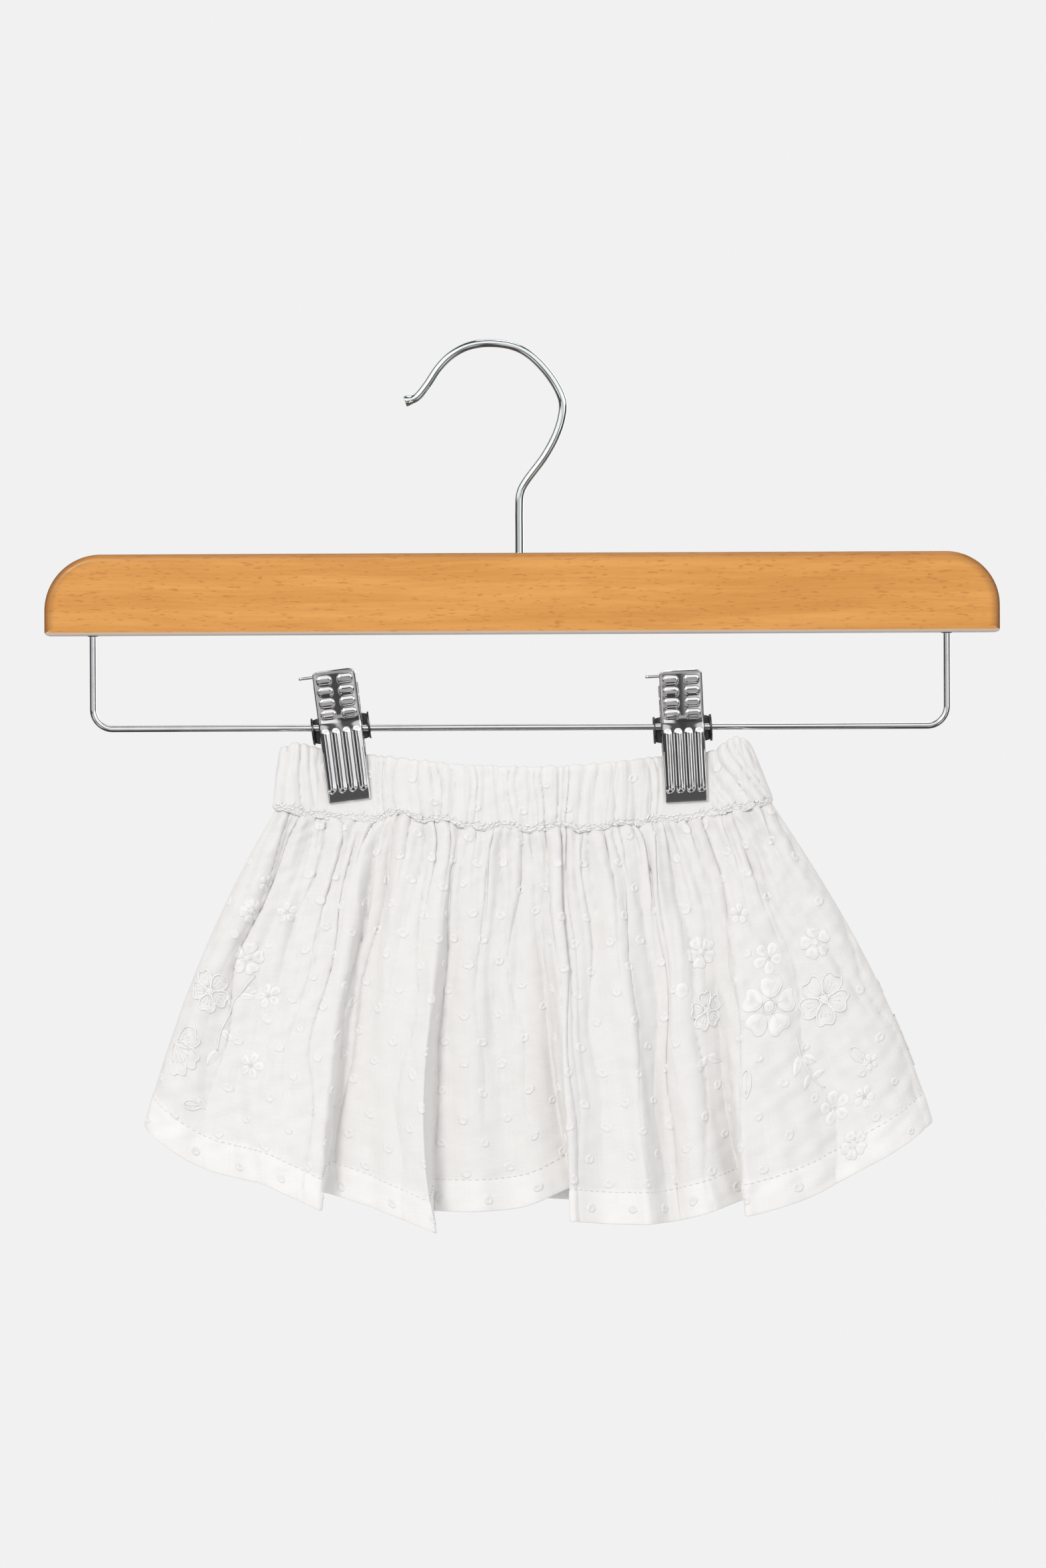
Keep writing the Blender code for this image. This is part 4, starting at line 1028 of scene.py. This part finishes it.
class Needle:
    """Draws raised thread forms round one place on the cloth. Distances are to the right and up."""

    def __init__(self, cloth, x, z, threads):
        self.cloth, self.threads = cloth, threads
        self.row, self.column = cloth.seen_at(x, z)

    def put(self, right, up, lift):
        return self.cloth.put(self.row, self.column, right, up, lift)

    def patch(self, thread, right, up, middle, height, rings=6):
        """A patch inside a closed outline, domed to a height."""
        count = len(right)
        all_right, all_up, lift, places = [], [], [], []
        angles = round_angles(count)
        reach = np.hypot(right - middle[0], up - middle[1])
        for share in np.linspace(0.03, 1.0, rings):
            all_right.append(middle[0] + (right - middle[0]) * share)
            all_up.append(middle[1] + (up - middle[1]) * share)
            lift.append(np.full(count, 0.05 + height * math.sqrt(max(1 - share ** 3, 0.0))))
            places.append(np.column_stack([angles * reach.mean(), share * reach]))
        points = self.put(np.concatenate(all_right), np.concatenate(all_up), np.concatenate(lift))
        self.threads[thread].add(points, capped_faces(rings, count)[:-1], np.vstack(places))

    def corded(self, right, up, radius, closed=True):
        """A raised cord along a line."""
        if closed:
            right, up = np.append(right, right[:2]), np.append(up, up[:2])
        route = self.put(right, up, radius * 0.7)
        self.threads["cord"].add(*tube(route, radius, 6))

    def stem(self, points, leaves):
        """A corded line through points, with leaves along it."""
        line = smooth_line(points, 5)
        self.corded(line[:, 0], line[:, 1], 0.3, closed=False)
        for sizes in leaves:
            self.leaf(*sizes)

    def disc(self, thread, x, y, radius, height, count=14, rings=4):
        angles = round_angles(count)
        self.patch(thread, x + radius * np.cos(angles), y + radius * np.sin(angles), (x, y), height, rings)

    def petal(self, angle, near, far, half_width, notch, style, count=32):
        """A two-lobed petal from near to far: "satin" or "sheer", with cord round it, or "small". A sheer
        petal is filled with grey painted shade.
        """
        t = np.linspace(-np.pi, np.pi, count, endpoint=False)
        half = (far - near) / 2
        wide = 0.55 + 0.45 * (0.5 + 0.5 * np.cos(t)) ** 0.6
        ahead = near + half + half * np.cos(t) * (1 - notch * np.exp(-(t / 0.42) ** 2))
        aside = half_width * np.sin(t) * wide
        cos, sin = math.cos(angle), math.sin(angle)
        right, up = ahead * cos - aside * sin, ahead * sin + aside * cos
        middle = ((near + half) * cos, (near + half) * sin)
        # Sheer: a flat patch of grey painted shade inside the cord.
        if style == "sheer":
            self.patch("painted_shade_net", right, up, middle, 0.02, 3)
            self.corded(right, up, 0.34)
            for lean in (-0.28, 0.0, 0.28):
                ray = np.linspace(near + 0.5, near + half * 1.15, 5)
                self.corded(ray * math.cos(angle + lean), ray * math.sin(angle + lean), 0.17, closed=False)
            return
        self.patch("satin", right, up, middle, 0.5 if style == "satin" else 0.36)
        if style == "satin":
            self.corded(right, up, 0.24)

    def leaf(self, right, up, angle, length, half_width, sheer=False):
        """A pointed leaf from its foot along an angle, with a vein."""
        t = round_angles(26)
        ahead = length * (0.5 - 0.5 * np.cos(t))
        aside = half_width * np.sin(t) * (0.8 + 0.25 * np.cos(t)) * np.sqrt(np.abs(np.sin(t)) + 0.05)
        cos, sin = math.cos(angle), math.sin(angle)
        outline = (right + ahead * cos - aside * sin, up + ahead * sin + aside * cos)
        middle = (right + length * 0.5 * cos, up + length * 0.5 * sin)
        # A sheer leaf is filled with grey painted shade.
        self.patch("painted_shade_net" if sheer else "satin", *outline, middle, 0.02 if sheer else 0.36, 5)
        if sheer:
            self.corded(*outline, 0.3)
        vein = np.linspace(0.05, 0.85, 6) * length
        self.corded(right + vein * cos, up + vein * sin, 0.2, closed=False)

    def rosette(self, size, start):
        """Two-lobed satin petals round a domed centre, with grey discs of painted shade for the openwork
        between their feet.
        """
        for index in range(5):
            angle = start + TURN * index / 5
            self.petal(angle, size * 0.27, size, size * 0.44, 0.38, "satin")
            beside, foot = angle + TURN / 10, size * 0.34
            self.disc("painted_shade_net", foot * math.cos(beside), foot * math.sin(beside), size * 0.14, 0.0, 12, 3)
        self.disc("satin", 0.0, 0.0, size * 0.19, 0.6, 20, 6)
        ring = round_angles(20)
        self.corded(size * 0.22 * np.cos(ring), size * 0.22 * np.sin(ring), 0.24)

    def open_flower(self, size, start):
        """Sheer two-lobed petals filled with painted shade, with corded outlines round a knot."""
        for index in range(5):
            self.petal(start + TURN * index / 5, size * 0.14, size, size * 0.42, 0.34, "sheer")
        self.disc("satin", 0.0, 0.0, size * 0.15, 0.55, 16, 5)

    def fan(self, size, angles):
        """Sheer petals filled with painted shade, spread from one foot."""
        for angle in angles:
            self.petal(angle, 0.8, size, size * 0.34, 0.3, "sheer")

    def blossom(self, size, start):
        """Five small satin petals round four seeds."""
        for index in range(5):
            self.petal(start + TURN * index / 5, size * 0.16, size, size * 0.38, 0.1, "small", 18)
        for index in range(4):
            angle = TURN * index / 4
            self.disc("satin", 0.5 * math.cos(angle), 0.5 * math.sin(angle), 0.32, 0.5, 8, 3)


def embroider(label, cloth, surfaces, mirror):
    """The sprays on a panel, as one piece for each thread. mirror swaps their sides for the back."""
    threads = {thread: Heap() for thread in surfaces}
    for x, z, form, *sizes in SPRAYS:
        needle = Needle(cloth, 2 * MIRROR_X - x if mirror else x, z, threads)
        getattr(needle, form)(*sizes)
    return [heap.piece(label + "_" + thread + "_embroidery", surfaces[thread], "voile")
            for thread, heap in threads.items()]


def bar_outline(inset):
    """The bar's outline from the front, drawn in by an inset, with 1 for each point of the underside."""
    corners = [
        (BAR_LEFT, BAR_TOP, 1, -1, "top_left", 180, 24),
        (BAR_RIGHT, BAR_TOP, -1, -1, "top_right", 90, 24),
        (BAR_RIGHT, BAR_BOTTOM, -1, 1, "bottom", 0, 8),
        (BAR_LEFT, BAR_BOTTOM, 1, 1, "bottom", -90, 8),
    ]
    outline = []
    for x, z, inward_x, inward_z, corner, start, arcs in corners:
        radius = CORNER_RADIUS[corner]
        for step in range(arcs + 1):
            angle = math.radians(start - 90 * step / arcs)
            below = 1.0 if corner == "bottom" and math.sin(angle) < -0.5 else 0.0
            drawn = inset * (BAR_ROUND_BELOW / BAR_ROUND if below else 1.0)
            reach = max(radius - drawn, 0.1)
            outline.append((x + inward_x * max(radius, inset + 0.1) + reach * math.cos(angle),
                            z + inward_z * max(radius, drawn + 0.1) + reach * math.sin(angle), below))
    return np.array(outline)


def hanger_bar(surface):
    """The wooden bar with rounded top and ends, and nearly square lower edges."""
    turn = np.linspace(0, np.pi / 2, 9)
    # The third value of each ring is how strongly it is painted darker as painted dark reflection on the
    # rounded edge.
    half = [(BAR_ROUND + more, 0.0, 0.5 * max(1 - more / FACE_INSETS[0], 0.0)) for more in FACE_INSETS]
    half += [(BAR_ROUND * (1 - math.sin(angle)), 1 - math.cos(angle), 0.5 + 0.5 * math.sin(angle))
             for angle in turn]
    points, marks, under = [], [], []
    for side, inset, back, mark in [(-1, *ring) for ring in half] + [(1, *ring) for ring in half[::-1]]:
        outline = bar_outline(inset)
        below = outline[:, 2] > 0
        y = side * (BAR_THICK / 2 - np.where(below, BAR_ROUND_BELOW, BAR_ROUND) * back)
        points.append(np.column_stack([outline[:, 0], y, outline[:, 1]]))
        # Edge marks for the painted dark reflection: weaker on the lower edges, and weaker along the top than
        # at the ends.
        along_top = 1 - smooth((np.abs(outline[:, 0] - BAR_MIDDLE) - BAR_HALF + 22.0) / 18.0)
        marks.append(np.where(below, 0.35 * mark, np.maximum(mark - 0.2 * along_top, 0.0)))
        # Under marks for the underside's painted pale grey reflection.
        under.append(np.where(below, min(max(mark - 0.5, 0.0) * 4, 1.0), 0.0))
    made = piece("hanger_bar_beech", np.vstack(points), capped_faces(len(points), len(points[0])), surface,
                 ["hanger_bar"],
                 marks={"edge": np.concatenate(marks), "under": np.concatenate(under)})
    made.data.set_sharp_from_angle(angle=math.radians(50))


def rod_hole_painted_shade(surface):
    """Dark rings of painted shade at the two holes that the rod's ends enter."""
    heap = Heap()
    for x in (ROD_LEFT, ROD_RIGHT):
        route = [(x, 0, BAR_BOTTOM + height) for height, _ in HOLE_SHADE_PROFILE]
        heap.add(*tube(route, [radius for _, radius in HOLE_SHADE_PROFILE], 20))
    heap.piece("rod_hole_painted_shade", surface, "lacquered_wood")


def hanger_hook(surface):
    """The bent wire hook, its end slightly flared."""
    line = smooth_line([(x, 0, z) for x, z in HOOK_LINE], 9)
    radius = HOOK_RADIUS * (1 + 0.32 * (1 - smooth((travelled(line[None], 1)[0] - 0.8) / 2.2)))
    start = line[0] + (line[0] - line[1]) * 0.12
    line = np.vstack([start + (start - line[0]) * 0.6, start, line])
    radius = np.concatenate([[HOOK_RADIUS * 0.9, HOOK_RADIUS * 1.22], radius])
    wire("hanger_hook_wire", line, radius, 24, surface, ["hanger_hook"])


def clip_rod(surface):
    """The U-shaped wire under the bar that carries the clips."""
    top = BAR_BOTTOM + ROD_IN_BAR
    route = [(ROD_LEFT, 0, top + (ROD_Z + ROD_BEND - top) * step / 6) for step in range(6)]
    for x, start in ((ROD_LEFT + ROD_BEND, 180), (ROD_RIGHT - ROD_BEND, 270)):
        for step in range(17):
            angle = math.radians(start + 90 * step / 16)
            route.append((x + ROD_BEND * math.cos(angle), 0, ROD_Z + ROD_BEND + ROD_BEND * math.sin(angle)))
    route += [(ROD_RIGHT, 0, ROD_Z + ROD_BEND + (top - ROD_Z - ROD_BEND) * step / 6) for step in range(1, 7)]
    wire("clip_rod_wire", route, ROD_RADIUS, 20, surface, ["clip_rod"])


def at_height(z, profile):
    """Reads a profile of (height, value) rows, lowest first, at heights above the rod."""
    return np.interp(z, [row[0] for row in profile], [row[1] for row in profile])


def jaw_inside(z):
    """Distance of a jaw's inside from the clip's middle plane, with its bends rounded."""
    return sum(at_height(z + shift, JAW_PROFILE) for shift in (-1.2, -0.4, 0.4, 1.2)) / 4


def clip_place(clip):
    """Where a clip sits: tilted on the rod, hanging by the upper edge of its ear holes."""
    tilt = math.radians(clip["tilt"])
    slack = EAR_HOLE - ROD_RADIUS - GAP - EAR_HALF_WIDTH * math.sin(tilt)
    place = Matrix.Translation(Vector((clip["x"], 0, ROD_Z - max(slack, 0.0))))
    return np.array(place @ Matrix.Rotation(-tilt, 4, "Y"))


def placed(points, place):
    return np.asarray(points) @ place[:3, :3].T + place[:3, 3]


def relief(x, z):
    """How far a plate's pressed pills and ribs stand out."""
    lift = np.zeros(np.broadcast(x, z).shape)
    half_long, half_high = PILL_SIZE[0] / 2, PILL_SIZE[1] / 2
    for column in (-1, 1):
        for row in range(4):
            above = z - (PILL_TOP - PILL_PITCH * row)
            off = np.hypot(np.maximum(np.abs(x - column * RIB_PITCH) - (half_long - half_high), 0), above)
            lift = np.maximum(lift, smooth((half_high - off) / PILL_EDGE) * (PILL_LIFT - 0.09 * above))
    past = np.maximum(np.maximum(z - RIB_TOP + 1.0, RIB_BOTTOM + 1.0 - z), 0)
    for column in (-1.5, -0.5, 0.5, 1.5):
        off = np.minimum(np.hypot(x - column * RIB_PITCH, past) / RIB_HALF_WIDTH, 1.0)
        lift = np.maximum(lift, RIB_LIFT * np.cos(np.pi / 2 * off) ** 1.6)
    return lift


def clip_plate(name, clip, side, surface):
    """One pressed plate with its edges turned back, pills above and ribs below."""
    z = np.linspace(PLATE_TOP, PLATE_BOTTOM, PLATE_ROWS)[:, None]
    flat = np.linspace(0, PLATE_HALF_WIDTH - PLATE_BEND, PLATE_COLUMNS[side])
    flange = at_height(z, FLANGE_PROFILE) + 0.25
    depth = jaw_inside(z) + PLATE_THICK
    bend = np.arccos(np.clip(1 - flange / PLATE_BEND, 0, 1))
    x_right, back = [flat[None] + 0 * z], [0 * flat[None] + 0 * z]
    turned = np.linspace(1 / 6, 1, 6)[None] * bend
    x_right.append(flat[-1] + PLATE_BEND * np.sin(turned))
    back.append(PLATE_BEND * (1 - np.cos(turned)))
    straight = np.linspace(1 / 3, 1, 3)[None] * np.maximum(flange - PLATE_BEND, 0.02)
    x_right.append(np.broadcast_to(x_right[-1][:, -1:], straight.shape))
    back.append(back[-1][:, -1:] + straight)
    x_right, back = np.hstack(x_right), np.hstack(back)
    past = np.maximum(PLATE_CORNER - (PLATE_TOP - z), 0)
    short = PLATE_CORNER - np.sqrt(np.maximum(PLATE_CORNER ** 2 - past ** 2, 0))
    x_right = x_right * (1 - short / PLATE_HALF_WIDTH)
    x = np.hstack([-x_right[:, :0:-1], x_right])
    back = np.hstack([back[:, :0:-1], back])
    lift = relief(x, z) * (back < 0.01)
    y = depth - back + lift - PLATE_CROWN * (x / PLATE_HALF_WIDTH) ** 2 * smooth((z - RIB_TOP) / 3.0)
    outer = np.stack([x, side * y, z + 0 * x], -1)
    normals = grid_normals(outer) * side
    inner = outer - normals * PLATE_SHEET
    rows, columns = outer.shape[:2]
    points = np.vstack([outer.reshape(-1, 3), inner.reshape(-1, 3)])
    behind = rows * columns
    quads = grid_faces(rows, columns, flip=side < 0)
    faces = quads.tolist() + (quads[:, ::-1] + behind).tolist()
    rim = list(range(columns))
    rim += [row * columns + columns - 1 for row in range(1, rows)]
    rim += [(rows - 1) * columns + column for column in range(columns - 2, -1, -1)]
    rim += [row * columns for row in range(rows - 2, 0, -1)]
    for index, first in enumerate(rim):
        second = rim[(index + 1) % len(rim)]
        faces.append([first, behind + first, behind + second, second][::side])
    made = piece(name, placed(points, clip_place(clip)), faces, surface,
                 [name.replace("_plate", "")])
    made.data.set_sharp_from_angle(angle=math.radians(60))


def clip_ears(name, clip, surface):
    """Two tabs round the rod, each with a hole, and the strips that join them to the back plate."""
    heap = Heap()
    place = clip_place(clip)
    depth = float(jaw_inside(np.array(0.0))) + PLATE_THICK
    angles = round_angles(EAR_SIDES)
    ahead, above = np.cos(angles), np.sin(angles)
    reach = np.minimum(depth / np.maximum(ahead, 1e-6), EAR_RADIUS / np.maximum(np.abs(above), 1e-6))
    reach = np.where(ahead > 0, reach, EAR_RADIUS)
    back = [(-EAR_HALF_THICK * 0.7, 0.0), (-EAR_HALF_THICK, 0.12), (-EAR_HALF_THICK, 0.88),
            (-EAR_HALF_THICK * 0.7, 1.0)]
    section = back + [(-thick, share) for thick, share in back[::-1]]
    count = len(section)
    for hand in (-1, 1):
        points = []
        for thick, share in section:
            radius = EAR_INNER_RADIUS + (reach - EAR_INNER_RADIUS) * share
            points.append(np.column_stack([np.full(EAR_SIDES, hand * EAR_HALF_WIDTH + thick), radius * ahead,
                                           radius * above]))
        faces = []
        for ring in range(count):
            here, following = ring * EAR_SIDES, (ring + 1) % count * EAR_SIDES
            for step in range(EAR_SIDES):
                after = (step + 1) % EAR_SIDES
                faces.append([here + step, here + after, following + after, following + step][::hand])
        heap.add(placed(np.vstack(points), place), faces)
        strip = smooth_line([(PLATE_HALF_WIDTH - 1.2, depth - 0.85, 0),
                             (PLATE_HALF_WIDTH + 0.8, depth - 0.6, 0),
                             (EAR_HALF_WIDTH - 0.2, depth - 0.8, 0),
                             (EAR_HALF_WIDTH + 0.35, depth - 1.6, 0)], 4)
        points = []
        for index, (x, y, _) in enumerate(strip):
            short = 1.5 * (index / (len(strip) - 1)) ** 2
            for across, thick in STRIP_SECTION:
                points.append((hand * x, y + thick, across - math.copysign(short, across)))
        faces = grid_faces(len(strip), 6, wrap=True, flip=hand > 0).tolist()
        ends = [list(range(6)), [(len(strip) - 1) * 6 + index for index in range(6)][::-1]]
        heap.add(placed(points, place), faces + [face[::hand] for face in ends])
    made = heap.piece(name, surface, "clip_steel")
    made.data.set_sharp_from_angle(angle=math.radians(50))


def clip_spring(name, clip, surface):
    """A torsion spring round the rod. One end bends out past the front plate's left edge."""
    def arm(side, z):
        return side * (float(jaw_inside(np.array(z))) - GAP - SPRING_WIRE)
    left, right = -SPRING_HALF_WIDTH, SPRING_HALF_WIDTH
    pin_x = -(PLATE_HALF_WIDTH + PLATE_THICK / 2 + SPRING_PIN_OUT)
    below_pin = SPRING_PIN_Z - SPRING_BEND
    lead = smooth_line([(pin_x, arm(-1, SPRING_PIN_Z), SPRING_PIN_Z),
                        (left - 3.0, arm(-1, SPRING_PIN_Z), SPRING_PIN_Z),
                        (left - SPRING_BEND, arm(-1, SPRING_PIN_Z), SPRING_PIN_Z),
                        (left, arm(-1, below_pin), below_pin),
                        (left, arm(-1, SPRING_LEG_Z), SPRING_LEG_Z)], 5)
    coil = []
    for share in np.arange(SPRING_STEPS + 1) / SPRING_STEPS:
        angle = math.pi + 2 * math.pi * SPRING_TURNS * share
        coil.append((left + (right - left) * share, SPRING_RADIUS * math.cos(angle),
                     SPRING_RADIUS * math.sin(angle)))
    tail = [(right, arm(1, SPRING_LEG_Z), SPRING_LEG_Z), (right, arm(1, SPRING_PIN_Z), SPRING_PIN_Z)]
    route = placed(np.vstack([lead, coil, tail]), clip_place(clip))
    wire(name, route, SPRING_WIRE, 10, surface, [name.replace("_coil", "")])


def floor_and_lights():
    """The pale floor, and soft disc lights that face the part."""
    angles = round_angles(FLOOR_SIDES)
    disc = np.column_stack([FLOOR_RADIUS * np.cos(angles), FLOOR_RADIUS * np.sin(angles),
                            np.full(FLOOR_SIDES, FLOOR_Z)])
    mesh = bpy.data.meshes.new("floor")
    mesh.from_pydata(disc.tolist(), [], [list(range(FLOOR_SIDES))])
    mesh.materials.append(floor_material())
    floor = add_object("floor", mesh)
    floor.visible_glossy = False
    for name, (place, size, power, colour) in LIGHTS.items():
        lamp = bpy.data.lights.new(name, "AREA")
        lamp.shape = "DISK"
        lamp.size = size
        lamp.energy = power
        lamp.color = colour
        made = add_object(name, lamp)
        made.location = place
        made.rotation_euler = (Vector(LIT_PLACE) - Vector(place)).to_track_quat("-Z", "Y").to_euler()


def surround():
    """The plain background, the soft light that it gives, and what the metal mirrors."""
    world = bpy.data.worlds.new("pale_surround")
    bpy.context.scene.world = world
    make = Nodes(world)
    direction = make.add("TexCoord").outputs["Generated"]

    def blend(share, first, second):
        return make.out("MapRange", {"Value": share, "To Min": first, "To Max": second})

    level = make.out("VectorMath", {0: direction, 1: (1.0, 1.0, 0.0)}, operation="MULTIPLY")
    level = make.out("VectorMath", {0: level}, operation="NORMALIZE")
    right, back = make.add("SeparateXYZ", {0: level}).outputs[:2]
    height = make.add("SeparateXYZ", {0: direction}).outputs[2]
    sideways = make.out("Math", {0: right, 1: 0.5, 2: 0.5}, operation="MULTIPLY_ADD")

    def spread(table):
        """Brightness from far left to far right."""
        node = make.add("ValToRGB", {0: sideways})
        stops = node.color_ramp.elements
        for place, _ in table[1:-1]:
            stops.new(place)
        for stop, (place, value) in zip(stops, table):
            stop.position = place
            stop.color = (value, value, value, 1.0)
        return node.outputs[0]

    around = blend(make.ramp(height, -0.46, -0.40), spread(FRONT_LOW), 0.42)
    around = blend(make.ramp(height, -0.32, -0.27), around, spread(FRONT_BELOW))
    around = blend(make.ramp(height, -0.125, -0.11), around, 0.09)
    around = blend(make.ramp(height, -0.06, 0.0), around, spread(FRONT_LEVEL))
    around = blend(make.ramp(back, -0.50, -0.28), around, 0.06)
    around = blend(make.ramp(back, 0.30, 0.62), around, 0.38)
    box = make.times(make.ramp(height, 0.05, 0.20), make.ramp(back, 0.2, -0.2))
    bright = blend(box, around, 1.1)
    bright = blend(make.ramp(height, 0.74, 0.88), bright, 0.06)
    bright = blend(make.ramp(height, -0.62, -0.80), bright, 0.05)
    path = make.add("LightPath").outputs
    glossy = make.out("Background", {"Color": bright, "Strength": 1.0})
    soft = make.out("Background", {"Color": (0.985, 0.99, 1.0, 1.0), "Strength": SOFT_LIGHT})
    plain = make.out("Background", {"Color": (0.88, 0.88, 0.88, 1.0), "Strength": 1.0})
    lit = make.out("MixShader", {0: path["Is Glossy Ray"], 1: soft, 2: glossy})
    seen = make.out("MixShader", {0: path["Is Camera Ray"], 1: lit, 2: plain})
    make.add("OutputWorld", {"Surface": seen})


def camera():
    """A long lens, straight at the front."""
    lens = bpy.data.cameras.new("camera")
    lens.sensor_width = SENSOR
    lens.lens = LENS
    lens.clip_end = 50.0
    made = add_object("camera", lens)
    made.location = (VIEW_X * MM, -VIEW_DISTANCE * MM, VIEW_Z * MM)
    made.rotation_euler = (math.radians(90), math.radians(VIEW_ROLL), 0.0)
    bpy.context.scene.camera = made


def hanger():
    """The bar, hook, rod and clips."""
    rod = metal_material("rod_chrome_wire", (0.82, 0.82, 0.84), 0.06, 0.08, 0.85)
    nickel = metal_material("nickel_plate", (0.82, 0.805, 0.81), 0.05, 0.06, 0.8)
    dark = metal_material("dark_steel", (0.10, 0.10, 0.105), 0.3, 0.3, 0.7)
    hanger_bar(wood_material())
    # The dark steel rings at the rod's holes are painted shade.
    rod_hole_painted_shade(dark)
    hanger_hook(metal_material("hook_chrome_wire", (0.80, 0.84, 0.84), 0.07, 0.08, 0.85))
    clip_rod(rod)
    for name, clip in CLIPS.items():
        clip_plate(name + "_front_plate", clip, -1, nickel)
        clip_plate(name + "_back_plate", clip, 1, nickel)
        clip_ears(name + "_ears", clip, dark)
        clip_spring(name + "_spring_coil", clip, rod)


def stitches(label, panel_cloth, casing_cloth, up_from_hem, seed, hem_thread, casing_thread):
    """The hem's row of stitches, and the straight and ragged rows where the casing holds the gathers."""
    rows, columns = panel_cloth.grid.shape[:2]
    hem_rows = np.array([np.interp(-(HEM_DEPTH - 0.9), -up_from_hem[:, column], np.arange(rows))
                         for column in range(columns)])
    heap = Heap()
    stitch_row(heap, panel_cloth, hem_rows, **HEM_STITCH)
    on_hem = heap.piece("hem_stitches_" + label, hem_thread, "voile")
    rows, columns = casing_cloth.grid.shape[:2]
    heap = Heap()
    stitch_row(heap, casing_cloth, np.full(columns, rows - 4.2), **CASING_STITCH)
    for up, pitch, past in RAGGED_ROWS:
        ragged_row(heap, casing_cloth, rows - up, pitch, seed + past)
    return on_hem, heap.piece("casing_stitches_" + label, casing_thread, "voile")


def skirt():
    """The front and back of the skirt and its waistband, with all that is sewn on them."""
    voile = cloth_material("white_voile", (0.842, 0.827, 0.81), (0.806, 0.791, 0.773), 0.13, 0.36)
    casing = cloth_material("white_voile_casing", (0.835, 0.821, 0.806), (0.80, 0.786, 0.77), 0.08, 0.32)
    fluff = thread_material("dot_thread", (0.806, 0.793, 0.777), (0.76, 0.748, 0.733), 0.3, 0.00010, 0.95)
    thread = (0.853, 0.844, 0.83), (0.80, 0.79, 0.776)
    sewing = {"satin": thread_material("satin_thread", *thread, 0.36, 0.00010, 0.6),
              "cord": thread_material("corded_thread", *thread, 0.5, 0.00014, 0.6),
              # The net's darker colour is painted shade, where real openwork shows the shade behind it.
              "painted_shade_net": painted_shade_net_material("openwork_painted_shade", (0.81, 0.80, 0.786), (0.67, 0.66, 0.647))}
    for label, side, folds, seed in (("front", -1, FRONT_FOLDS, 11), ("back", 1, BACK_FOLDS, 37)):
        casing_piece, casing_cloth = band("waistband_" + label + "_casing", side, seed + 3, casing)
        made, cloth, up_from_hem = panel("skirt_" + label + "_panel", folds, side, seed, voile)
        on_hem, on_casing = stitches(label, cloth, casing_cloth, up_from_hem, seed, fluff, sewing["satin"])
        clear = [(x if side < 0 else 2 * MIRROR_X - x, z, reach) for x, z, reach in CLEAR_OF_DOTS]
        spots = dots("woven_dots_" + label, cloth, float(cloth.along[-1, -1]), seed + 9, fluff, clear)
        band_spots = dots("casing_dots_" + label, casing_cloth, CASING_DOT_WIDTH, seed + 21, fluff, [])
        sewn = embroider(label, cloth, sewing, side > 0)


bpy.context.scene.view_settings.view_transform = "Standard"
floor_and_lights()
surround()
camera()
hanger()
skirt()

bpy.context.view_layer.update()
